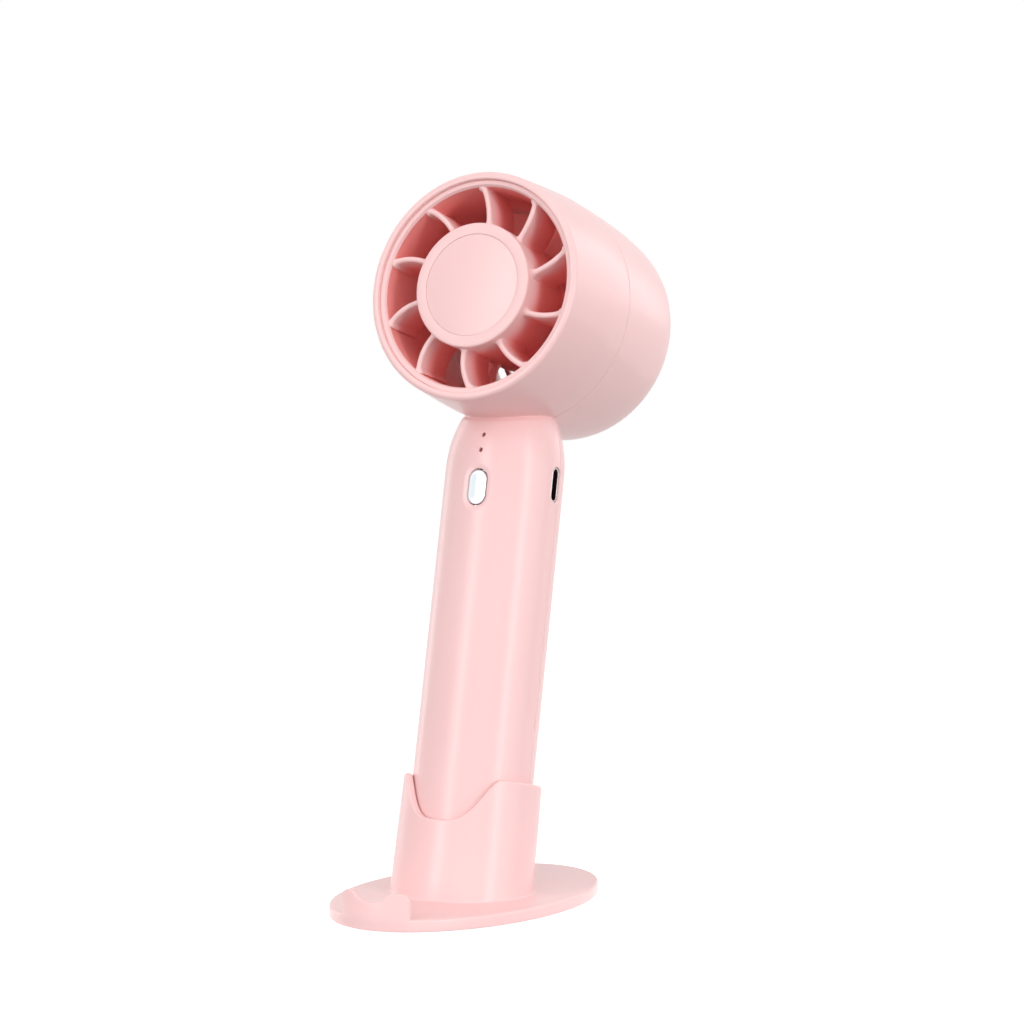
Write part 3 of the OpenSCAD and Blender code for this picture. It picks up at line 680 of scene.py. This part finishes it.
def blade(wheel, turn):
    """One twisted blade: a thin curved wing that leans over as it goes back."""
    front, rear, slant, mean_radius = -7.2, 6.4, math.radians(48), 21
    thickness, root_fillet, bow = 0.55, 0.7, 1.1
    chords = [0.5 - 0.5 * math.cos(math.pi * i / 12) for i in range(13)]
    rows = []
    for radius in joined(span(15.6, 17, 3), span(17, 25.8, 10)):
        slope = math.tan(slant) * radius / mean_radius
        across = math.cos(math.atan(slope))
        full = thickness + root_fillet * min(1, math.exp(-(radius - 16.2) / 0.5))
        section = []
        for side, order in ((1, chords), (-1, chords[-2:0:-1])):
            for t in order:
                half = max(full * (2.6 * math.sqrt(t) - 2.2 * t - 0.35 * t * t), 0.0)
                s = front + (rear - front) * t
                camber = bow * 4 * t * (1 - t)
                shift = (s - (front + rear) / 2) * slope - camber / across + side * half / across
                angle = turn + shift / radius
                section.append((radius * math.sin(angle), s, radius * math.cos(angle)))
        rows.append(section)
    wheel.loops(rows)


def rear_grille():
    grille = Sheets()
    rim, outside, bar, boss = 24.7, 26.2, 0.65, 6.8
    turned(grille, oblong(rim, outside, 26.6, 30.4, 0.3, 0.5), 160)
    for radius in (11.5, 16.5, 21.5):
        turned(grille, oblong(radius - bar, radius + bar, 28, 30, 0.5, 0.62), 128)
    middle = rounded([(5, 27.6, 0), (boss, 27.6, 0.3), (boss, 30.2, 0.9), (4, 30.38, 0)])
    turned(grille, [(0, 27.6)] + middle[1:] + [(0, 30.4)], 96)
    for angle in full_turn(20):
        c, s = math.cos(angle), math.sin(angle)
        rows = []
        for radius in joined(span(5.9, 7.6, 3), span(7.6, 24, 4), span(24, 25.4, 3)):
            near = min(radius - boss, rim - radius)
            half = bar + 0.5 * math.exp(-max(near, 0) / 0.4)
            rows.append([(radius * s + w * c, a, radius * c - w * s)
                         for w, a in oblong(-half, half, 27.8, 29.8, 0.5, 0.6)])
        grille.loops(rows)
    return grille


# -------- controls and plugs

def stadium_tower(sheets, levels, point, half_width, half_length):
    """Stadium loops at levels (depth, inset), from the first to the last."""
    rows = []
    for depth, inset in levels:
        loop = stadium_loop(half_width - inset, half_length - inset)
        rows.append([point(u, v, depth) for u, v in loop])
    sheets.loops(rows)


def power_button():
    """The cap with its rounded edge and low crown, and the stem behind it."""
    button = Sheets()
    crown, edge, stem = 0.16, 0.42, 1.4
    levels = [(-10.9, -0.8), (-11.65, -0.8), (-11.7, -0.75), (-11.72, 0)]
    levels += [(BUTTON_FACE + crown + edge - edge * math.sin(a), edge - edge * math.cos(a))
               for a in quarter_turn(6)]
    levels += [(BUTTON_FACE + crown * (1 - smooth(t)), edge + (2.48 - edge) * t)
               for t in span(0, 1, 6)[1:]]
    stadium_tower(button, levels, lambda u, v, depth: (u, depth, BUTTON_Z + v),
                  BUTTON_WIDTH / 2, BUTTON_LENGTH / 2)
    button.loops([[(stem * math.cos(a), y, BUTTON_Z + stem * math.sin(a)) for a in full_turn(32)]
                  for y in (-11, -10.9, -8.75, -8.6)])
    return button


def light_guide():
    """Two clear pins with rounded tips on one bar."""
    guide = Sheets()
    radius, tip = LIGHT_HOLE - 0.08, 0.12
    for z, front in zip(LIGHT_HEIGHTS, (-12.9, -12.2)):
        rows = [(front + tip * (1 - math.sin(a)), radius - tip + tip * math.cos(a))
                for a in quarter_turn(4)[::-1]] + [(-8.3, radius)]
        guide.loops([[(r * math.cos(t), y, z + r * math.sin(t)) for t in full_turn(24)]
                     for y, r in rows])
    low, high = LIGHT_HEIGHTS[0] - 1, LIGHT_HEIGHTS[1] + 1
    bar = oblong(-1, 1, low, high, 0.4, 0.4)
    guide.loops([[(x, y, z) for x, z in bar] for y in (-8.4, -7.2)])
    return guide


def usb_shell():
    shell = Sheets()
    half_width, half_length, outer, inner = 1.63, 4.47, 0.12, 0.1
    levels = [(8.4, 0.1), (8.5, 0.0)]
    levels += [(SOCKET_MOUTH - outer + outer * math.sin(a), outer - outer * math.cos(a))
               for a in quarter_turn(3)]
    levels += [(SOCKET_MOUTH - inner + inner * math.cos(a), 0.25 + inner * math.sin(a))
               for a in quarter_turn(3)]
    levels.append((9.4, 0.35))
    stadium_tower(shell, levels, lambda u, v, depth: (depth, SOCKET_Y - u, SOCKET_Z + v),
                  half_width, half_length)
    return shell


def block(sheets, low, high, radius, steps=3):
    """A block along x with rounded edges and small rounds at its ends."""
    near = radius * 0.3
    rows = []
    for x, inset in [(low[0], radius), (low[0] + near, near), (low[0] + radius, 0),
                     (high[0] - radius, 0), (high[0] - near, near), (high[0], radius)]:
        outline = oblong(low[1] + inset, high[1] - inset, low[2] + inset, high[2] - inset,
                         radius, radius, steps)
        rows.append([(x, y, z) for y, z in outline])
    sheets.loops(rows)


def usb_tongue():
    tongue = Sheets()
    half = 3.3
    block(tongue, (9.45, SOCKET_Y - TONGUE_HALF, SOCKET_Z - half),
          (14.35, SOCKET_Y + TONGUE_HALF, SOCKET_Z + half), 0.12)
    return tongue


def usb_contacts():
    contacts = Sheets()
    proud, half, pitch = 0.03, 0.13, 0.5
    for side in (-1, 1):
        middle = SOCKET_Y + side * TONGUE_HALF
        for i in range(12):
            z = SOCKET_Z + (i - 5.5) * pitch
            block(contacts, (10.2, middle - proud, z - half), (13.9, middle + proud, z + half),
                  0.02, 1)
    return contacts


def screw_plugs():
    """Four round plugs whose outer faces follow the handle's back."""
    plugs = Sheets()
    radius, edge, sunk, root = 2.05, 0.25, 0.08, 8.6
    levels = [(radius, root)]
    levels += [(radius - edge + edge * math.cos(a), sunk + edge - edge * math.sin(a))
               for a in quarter_turn(4)]
    levels += [(1.2, sunk), (0.5, sunk)]
    for side in (-1, 1):
        for z in PLUG_HEIGHTS:
            rows = []
            for r, depth in levels:
                loop = []
                for t in full_turn(40):
                    x, height = side * PLUG_X + r * math.cos(t), z + r * math.sin(t)
                    y = root if depth == root else rear_skin(x, height)[1] - depth
                    loop.append((x, y, height))
                rows.append(loop)
            plugs.loops(rows)
    return plugs


# -------- stand

def table_point(x, y, z):
    """A point of the leaning fan frame in the table's frame, in millimetres."""
    foot = fan_foot / MM
    c, s = math.cos(lean), math.sin(lean)
    return x, foot.y + y * c + z * s, foot.z - y * s + z * c


def half_sizes(low, high):
    """Half the width and length of a box in metres, in millimetres."""
    return (high.x - low.x) / 2 / MM, (high.y - low.y) / 2 / MM


def stop_height_at(x):
    """Height of the phone stop above the plate at x: round corners and a notch for a cable."""
    top = STOP_HEIGHT - round_in(STOP_HALF_WIDTH - abs(x), STOP_CORNER)
    if abs(x) >= NOTCH_RADIUS:
        return top
    notch = NOTCH_BOTTOM + NOTCH_RADIUS - math.sqrt(NOTCH_RADIUS ** 2 - x * x)
    blend = 0.35
    near = max(0.0, 1 - abs(top - notch) / (2 * blend))
    return min(top, notch) - blend * near * near / 2


def dip_height(x):
    """Height of the cup's rim along the leaning axis, with the thumb dip in its front."""
    t = min(1.0, abs(x) / DIP_HALF_WIDTH)
    return CUP_RIM - DIP_DEPTH * (1 - t ** 3.5) ** 2


def stand():
    """The oval plate and leaning cup in one skin, with the phone stop on the plate's edge."""
    low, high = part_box("stand")
    half_width, half_length = half_sizes(low, high)
    made = Sheets()
    columns = [stand_line(theta, half_width, half_length) for theta in full_turn(224)]
    made.grid(list(zip(*columns)), closed=True)
    phone_stop(made, half_width, half_length)
    return made


def plate_edge(theta, half_width, half_length):
    """A function for points of the plate at a distance in from its edge and a height."""
    c, s = math.cos(theta), math.sin(theta)
    normal = np.array((c / half_width, s / half_length))
    normal /= np.linalg.norm(normal)
    return lambda inward, z: (half_width * c - normal[0] * inward,
                              half_length * s - normal[1] * inward, z)


def stand_line(theta, half_width, half_length):
    """The stand's section in one direction, from the middle of its underside to the cup's floor."""
    c, s = math.cos(theta), math.sin(theta)
    plate = plate_edge(theta, half_width, half_length)
    bottom, top = PAD_PROUD, PLATE_TOP
    under_round, top_round, bevel = 0.4, 0.6, 0.1
    x, y = (half_width - PAD_INSET + PAD_GAP) * c, (half_length - PAD_INSET + PAD_GAP) * s
    line = [(x * k, y * k, PAD_THICK) for k in (0, 0.5, 0.98, 1)]
    line += [(x, y, bottom + bevel), (x + bevel * c, y + bevel * s, bottom)]
    line += [plate(d, bottom + round_in(d, under_round))
             for d in round_distances(under_round, 4)[::-1]]
    line += [plate(0, bottom + PLATE_THICK / 2)]
    line += [plate(d, top - round_in(d, top_round)) for d in round_distances(top_round, 5)]
    line += [plate(1.2, top)]

    # Along the leaning axis the cup widens towards its foot, which has a small fillet
    rim = dip_height(HANDLE_A * c * 1.05) if s < 0 else CUP_RIM

    def outside(z, offset=0.0):
        grow = CUP_GAP + CUP_WALL + CUP_DRAFT * (CUP_RIM - z) / (CUP_RIM + 4) + offset
        return np.array(table_point((HANDLE_A + grow) * c, (HANDLE_B + grow) * s, z))

    def inside(z, offset=0.0, share=1):
        gap = CUP_GAP + offset
        return table_point((HANDLE_A + gap) * c * share, (HANDLE_B + gap) * s * share, z)

    # The height along the axis at which the cup's outside comes down to the plate
    foot = 3.0
    for _ in range(8):
        foot += (top - outside(foot)[2]) / math.cos(lean)
    corner, above, beside = outside(foot), outside(foot + FOOT_FILLET), outside(foot, FOOT_FILLET)
    beside[2] = top
    edge = np.array(line[-1])
    line += [edge + (beside - edge) * t for t in (0.3, 0.55, 0.75, 0.9)]
    line += curve(beside, corner, above, 6)
    wall = span(foot + FOOT_FILLET, rim - 1.5, 12)[1:] + [rim - 1, rim - RIM_ROUND - 0.1]
    line += [outside(z) for z in wall]
    for side, turns in ((outside, quarter_turn(4)), (inside, quarter_turn(4)[::-1])):
        sign = 1 if side is outside else -1
        line += [side(rim - RIM_ROUND + RIM_ROUND * math.sin(a),
                      sign * (RIM_ROUND * math.cos(a) - RIM_ROUND)) for a in turns]
    floor, floor_round = HANDLE_BASE - 0.05, 0.8
    line += [inside(z) for z in span(rim - 1.2, floor + floor_round, 8)]
    line += [inside(floor + floor_round * (1 - math.sin(a)), floor_round * (math.cos(a) - 1))
             for a in quarter_turn(3)]
    line += [inside(floor, 0, share) for share in (0.8, 0.4, 0)]
    return [tuple(point) for point in line]


def phone_stop(made, half_width, half_length):
    """The low wall on the plate's front edge, with rounded edges and a foot that flares inwards."""
    end_round, top_round, proud, flare, root = 0.7, 0.5, 0.01, 0.45, 0.9
    shoulder = STOP_HALF_WIDTH - STOP_CORNER
    ends = [STOP_HALF_WIDTH - d for d in round_distances(end_round, 5)][::-1]
    half = joined(span(0, shoulder, 22), span(shoulder, ends[0], 8), ends)
    rows = []
    for x in [-x for x in half[:0:-1]] + half:
        plate = plate_edge(-math.acos(x / half_width), half_width, half_length)
        drawn = round_in(STOP_HALF_WIDTH - abs(x), end_round)
        outer, inner = drawn - proud, STOP_WALL - drawn
        top = PLATE_TOP + stop_height_at(x)
        section = rounded([
            (outer, root, 0), (outer, top, top_round), (inner, top, top_round),
            (inner, PLATE_TOP + 0.5, 0.4), (inner + flare, PLATE_TOP - 0.05, 0),
            (inner + flare, root, 0)])
        rows.append([plate(inward, z) for inward, z in section])
    made.loops(rows)


def foot_pad():
    low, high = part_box("foot_pad")
    a, b = half_sizes(low, high)
    pad = Sheets()
    levels = [(0.25, 0), (0.07, 0.07), (0, 0.25), (0, PAD_THICK - 0.1), (0.1, PAD_THICK)]
    pad.loops([[((a - inset) * math.cos(t), (b - inset) * math.sin(t), z) for t in full_turn(160)]
               for inset, z in levels])
    return pad


# -------- materials

def srgb(*values):
    """A colour given from 0 to 255 as shown on a screen, in linear light."""
    out = []
    for v in values:
        v /= 255
        out.append(v / 12.92 if v <= 0.04045 else ((v + 0.055) / 1.055) ** 2.4)
    return (*out, 1)


def shade(colour, factor):
    return tuple(min(1, v * factor) for v in colour[:3]) + (1,)


def material(name):
    """A new material, its node tree and its shader."""
    made = bpy.data.materials.new(name)
    made.use_nodes = True
    tree = made.node_tree
    return made, tree, tree.nodes["Principled BSDF"]


def feed(tree, node, **inputs):
    """Gives a node's inputs values or links. In a name _ stands for a space."""
    for name, value in inputs.items():
        socket = node.inputs[name.replace("_", " ")]
        if isinstance(value, bpy.types.NodeSocket):
            tree.links.new(value, socket)
        else:
            socket.default_value = value
    return node


def new_node(tree, kind, **inputs):
    return feed(tree, tree.nodes.new("ShaderNode" + kind), **inputs)


def place_on_object(tree):
    return new_node(tree, "TexCoord").outputs["Object"]


def noise(tree, scale, detail):
    """Noise in the object's own coordinates, with a scale in repeats per metre."""
    place = place_on_object(tree)
    return new_node(tree, "TexNoise", Vector=place, Scale=scale, Detail=detail).outputs["Fac"]


def ramp(tree, value, *stops):
    """A colour ramp over two (position, colour) stops."""
    node = new_node(tree, "ValToRGB", Fac=value)
    for element, (position, colour) in zip(node.color_ramp.elements, stops):
        element.position = position
        element.color = colour
    return node.outputs["Color"]


def bump(tree, height, strength, distance):
    node = new_node(tree, "Bump", Strength=strength, Distance=distance, Height=height)
    return node.outputs["Normal"]


def spread(tree, value, low, high):
    """A 0 to 1 value mapped to low to high."""
    return new_node(tree, "MapRange", To_Min=low, To_Max=high, Value=value).outputs["Result"]


def step_between(tree, value, start, end):
    """A value that goes smoothly from 0 to 1 while another goes from start to end."""
    node = new_node(tree, "MapRange", From_Min=start, From_Max=end, Value=value)
    node.interpolation_type = "SMOOTHSTEP"
    return node.outputs["Result"]


def along_vector(tree, operation):
    """A vector node on the object's coordinates, which gives a distance."""
    node = tree.nodes.new("ShaderNodeVectorMath")
    node.operation = operation
    tree.links.new(place_on_object(tree), node.inputs[0])
    return node


def mottled(name, stops, tone_noise, gloss, gloss_noise, grain, **inputs):
    """A material with a mottled tone, an uneven gloss and a fine grain.

    Each noise is (repeats per metre, detail), and grain is (repeats per metre, strength, depth).
    """
    made, tree, shader = material(name)
    repeats, strength, depth = grain
    feed(tree, shader, Base_Color=ramp(tree, noise(tree, *tone_noise), *stops),
         Roughness=spread(tree, noise(tree, *gloss_noise), *gloss),
         Normal=bump(tree, noise(tree, repeats, 2), strength, depth), **inputs)
    return made


def moulded(name, colour, roughness, glow=0.0):
    """Moulded plastic: a fine spark-eroded grain, slow tone variation and uneven gloss."""
    return mottled(
        name, ((0.3, shade(colour, 0.985)), (0.7, shade(colour, 1.012))), (28, 2),
        (roughness - 0.03, roughness + 0.04), (140, 4), (2600, 0.25, 0.00002), IOR=1.5,
        Subsurface_Weight=glow, Subsurface_Radius=(1.0, 0.45, 0.4), Subsurface_Scale=0.0012)


def metal(name, colour, roughness, grain=900):
    """Worked metal: fine grain in the gloss and slight tone changes."""
    return mottled(
        name, ((0.35, shade(colour, 0.9)), (0.65, colour)), (60, 3),
        (roughness * 0.8, roughness * 1.25), (grain, 4), (grain * 2, 0.15, 0.00001), Metallic=1)


def dyed(name, colour, roughness, scale=200, contrast=0.12, depth=0.00003):
    """A matt part with a mottled colour: foam, ferrite, wire covers, silicone."""
    return mottled(
        name, ((0.35, shade(colour, 1 - contrast)), (0.7, colour)), (scale, 4),
        (roughness - 0.05, roughness + 0.08), (scale * 3, 3), (scale * 8, 0.3, depth))


def paint_shade_along(made, colour, direction, start, end):
    """Paints shade on a material: another colour between two distances along a direction, in metres."""
    tree = made.node_tree
    base = tree.nodes["Principled BSDF"].inputs["Base Color"]
    along = along_vector(tree, "DOT_PRODUCT")
    along.inputs[1].default_value = direction
    mix = new_node(tree, "Mix")
    mix.data_type = "RGBA"
    share, outside, deep = mix.inputs[0], mix.inputs[6], mix.inputs[7]
    deep.default_value = colour
    tree.links.new(step_between(tree, along.outputs["Value"], start, end), share)
    tree.links.new(base.links[0].from_socket, outside)
    tree.links.new(mix.outputs[2], base)
    return made


def circuit_board():
    """Green laminate with a faint weave and paler tracks."""
    made, tree, shader = material("board_green")
    cells = new_node(tree, "TexBrick", Vector=place_on_object(tree), Scale=420, Mortar_Size=0.03,
                     Color1=srgb(22, 92, 56), Color2=srgb(18, 82, 50), Mortar=srgb(52, 128, 84))
    feed(tree, shader, Base_Color=cells.outputs["Color"],
         Roughness=spread(tree, noise(tree, 700, 3), 0.3, 0.45),
         Normal=bump(tree, cells.outputs["Fac"], 0.3, 0.00002))
    return made


def guide_in_painted_shade():
    """The light guide: clear plastic coloured dark pink, painted shade of its holes in the casing."""
    made, tree, shader = material("light_guide")
    # Painted shade: dark pink where the pins sit in their holes
    stops = (0.3, srgb(150, 70, 66)), (0.7, srgb(170, 84, 80))
    feed(tree, shader, Base_Color=ramp(tree, noise(tree, 500, 3), *stops),
         Roughness=spread(tree, noise(tree, 900, 3), 0.15, 0.25))
    return made


PINK = srgb(246, 204, 203)
# The deeper pink is painted shade: the darkening deep in the duct, on the barrel's inner wall and on the fan wheel
PAINTED_SHADE_PINK = srgb(252, 160, 156)
pink = moulded("shell_pink", PINK, 0.3, 0.08)
stand_pink = moulded("stand_pink", PINK, 0.3, 0.08)
# The outlet insert is its own pink at the front, with painted shade deeper into the duct
outlet = head_centre.dot(fan_back) + (DUCT_FRONT + 0.6) * MM
outlet_pink_and_painted_shade = paint_shade_along(moulded("outlet_pink_and_painted_shade", PINK, 0.4), PAINTED_SHADE_PINK, fan_back,
                        outlet, outlet + 6.5 * MM)
duct_painted_shade = moulded("duct_painted_shade", PAINTED_SHADE_PINK, 0.5)
# The fan wheel deep in the duct takes the painted shade's deeper pink
wheel_in_painted_shade = moulded("impeller_pink", PAINTED_SHADE_PINK, 0.42)
plug_pink = moulded("plug_pink", srgb(250, 200, 198), 0.42)
chrome = metal("button_chrome", srgb(232, 240, 244), 0.2)
steel = metal("usb_steel", srgb(205, 205, 208), 0.24)
# Painted shade: the socket's steel turns brown inside its mouth
paint_shade_along(steel, srgb(104, 74, 68), (-1, 0, 0),
          (0.05 - SOCKET_MOUTH) * MM, (0.4 - SOCKET_MOUTH) * MM)
rubber = dyed("foot_pad", srgb(232, 226, 222), 0.75, 400)

# The finishes of the material slots that CAD nodes show
PLAIN = {"usb_steel": steel, "board_green": circuit_board()}
for finish, slot_name, colour, *rest in (
        (dyed, "switch_black", (30, 28, 28), 0.45),
        (dyed, "led_lens", (245, 232, 180), 0.25, 300, 0.06),
        (dyed, "chip_black", (32, 32, 34), 0.55, 900, 0.2),
        (dyed, "ferrite", (62, 60, 60), 0.7, 700, 0.25),
        (dyed, "capacitor_tan", (190, 150, 104), 0.4, 500),
        (metal, "screw_steel", (196, 198, 204), 0.28),
        (metal, "motor_steel", (186, 188, 192), 0.3),
        (dyed, "magnet_grey", (60, 58, 58), 0.6, 600, 0.2),
        (metal, "stator_steel", (120, 122, 128), 0.42),
        (metal, "copper_wire", (196, 112, 62), 0.3, 2400),
        (metal, "brass", (206, 170, 94), 0.28),
        (dyed, "cell_wrap", (88, 138, 196), 0.34, 120, 0.05),
        (metal, "tab_nickel", (208, 206, 196), 0.34),
        (dyed, "pad_foam", (64, 64, 66), 0.9, 1600, 0.35, 0.0001),
        (dyed, "lead_red", (200, 34, 30), 0.42, 300),
        (dyed, "lead_black", (34, 32, 32), 0.45, 300),
        (dyed, "lead_white", (226, 222, 214), 0.45, 300)):
    PLAIN[slot_name] = finish(slot_name, srgb(*colour), *rest)


# -------- the object

def build_object():
    skin = casing_skin()
    piece("front_casing", "fan", shell_half(skin, -1), FAN, pink, ["front_shell"],
          barrel_inside_painted_shade)
    piece("rear_casing", "fan", shell_half(skin, 1), FAN, pink, ["rear_shell"],
          barrel_inside_painted_shade)
    piece("outlet_vanes", "fan", vane_ring(), HEAD, outlet_pink_and_painted_shade, ["vane_ring"],
          duct_wall_painted_shade)
    piece("hub_badge", "fan", hub_cap(), HEAD, pink, ["hub_cap"])
    piece("intake_grille", "fan", rear_grille(), HEAD, pink, ["rear_grille"])
    piece("fan_wheel", "rotor", impeller(), HEAD, wheel_in_painted_shade, ["impeller"])
    piece("button_cap", "button", power_button(), FAN, chrome, ["power_button"])
    piece("indicator_guide", "fan", light_guide(), FAN, guide_in_painted_shade(),
          ["light_guide"])
    piece("socket_shell", "fan", usb_shell(), FAN, steel, ["usb_shell"])
    piece("socket_tongue", "fan", usb_tongue(), FAN, PLAIN["switch_black"],
          ["usb_tongue"])
    piece("socket_contacts", "fan", usb_contacts(), FAN, PLAIN["brass"], [])
    piece("rear_plugs", "fan", screw_plugs(), FAN, plug_pink, ["screw_plugs"])
    piece("table_stand", "stand", stand(), TABLE, stand_pink, ["stand"])
    piece("base_pad", "stand", foot_pad(), TABLE, rubber, ["foot_pad"])


def paint_hidden_nodes():
    """Each CAD node that no piece replaces gets the finish of its own material slot."""
    for part in frame["record"]["subparts"]:
        obj, slot = frame["nodes"][part["node"]], part["material_slot"]
        if obj.hide_render:
            continue
        obj.data.materials.clear()
        obj.data.materials.append(PLAIN[slot])


# -------- stage, light and camera

def stage():
    """A white floor with a painted pool of light: paler close to the stand, where the light of the set gathers."""
    size = 6.0
    mesh = bpy.data.meshes.new("floor")
    corners = [(-size, -size, 0), (size, -size, 0), (size, size, 0), (-size, size, 0)]
    mesh.from_pydata(corners, [], [(0, 1, 2, 3)])
    floor = in_scene("floor", mesh)
    made, tree, shader = material("floor_white")
    away = along_vector(tree, "LENGTH").outputs["Value"]
    # The paler tone near the stand is a painted pool of light
    painted_light_tone, far_tone = (0.68, 0.66, 0.66, 1), (0.24, 0.24, 0.24, 1)
    tone = ramp(tree, step_between(tree, away, 0.05, 0.13), (0, painted_light_tone), (1, far_tone))
    feed(tree, shader, Base_Color=tone, Roughness=0.9, Specular_IOR_Level=0,
         Emission_Color=(1, 1, 1, 1), Emission_Strength=lit_and_seen(tree, 0.0, 0.96))
    mesh.materials.append(made)


def lit_and_seen(tree, lit, seen):
    """One value for the soft light that the stage sheds, another where it is seen or mirrored."""
    return spread(tree, new_node(tree, "LightPath").outputs["Is Diffuse Ray"], seen, lit)


def turn_back_to(obj, back):
    """Turns a light or camera to look away from a direction."""
    obj.rotation_mode = "QUATERNION"
    obj.rotation_quaternion = (-back).to_track_quat("-Z", "Y")


def softbox(name, place, width, height, power):
    """A rectangular light, in metres and watts, that faces the object's middle."""
    middle = Vector((0, 0, 0.1))
    data = bpy.data.lights.new(name, "AREA")
    data.shape = "RECTANGLE"
    data.size, data.size_y = width, height
    data.energy = power
    light = in_scene(name, data)
    light.location = place
    turn_back_to(light, Vector(place) - middle)


def lights():
    world = bpy.data.worlds.new("studio")
    world.use_nodes = True
    tree = world.node_tree
    feed(tree, tree.nodes["Background"], Color=(1, 1, 1, 1), Strength=lit_and_seen(tree, 0.53, 1.0))
    bpy.context.scene.world = world
    softbox("strip_left", (-0.35, -0.9, 0.25), 0.16, 1.1, 4.2)
    softbox("strip_right", (0.9, -0.42, 0.25), 0.16, 1.1, 4.2)
    softbox("front", (0.3, -1.0, 0.2), 0.9, 0.9, 1.8)
    softbox("right", (1.0, 0.1, 0.15), 0.7, 0.7, 1.9)
    softbox("overhead", (0.1, -0.3, 0.9), 0.8, 0.8, 1.2)
    softbox("left", (-1.0, 0.3, 0.2), 0.25, 1.1, 1.6)
    softbox("rear_right", (0.65, 0.8, 0.5), 0.6, 0.7, 1.2)
    softbox("behind_right", (0.3, 0.95, 0.42), 0.2, 0.5, 0.5)


def camera():
    """A view from nearly level, a little to the right of the object's front."""
    azimuth, elevation, distance = math.radians(29.32), math.radians(2.24), 728.95
    back = Vector((math.sin(azimuth) * math.cos(elevation),
                   -math.cos(azimuth) * math.cos(elevation), math.sin(elevation)))
    aim = Vector((10.54, 4.92, 100.35))
    data = bpy.data.cameras.new("camera")
    data.lens, data.sensor_width = 100.47, 36
    data.clip_start, data.clip_end = 0.01, 50
    obj = in_scene("camera", data)
    obj.location = (aim + back * distance) * MM
    turn_back_to(obj, back)
    bpy.context.scene.camera = obj


build_object()
paint_hidden_nodes()
stage()
lights()
camera()
bpy.context.scene.view_settings.view_transform = "Standard"
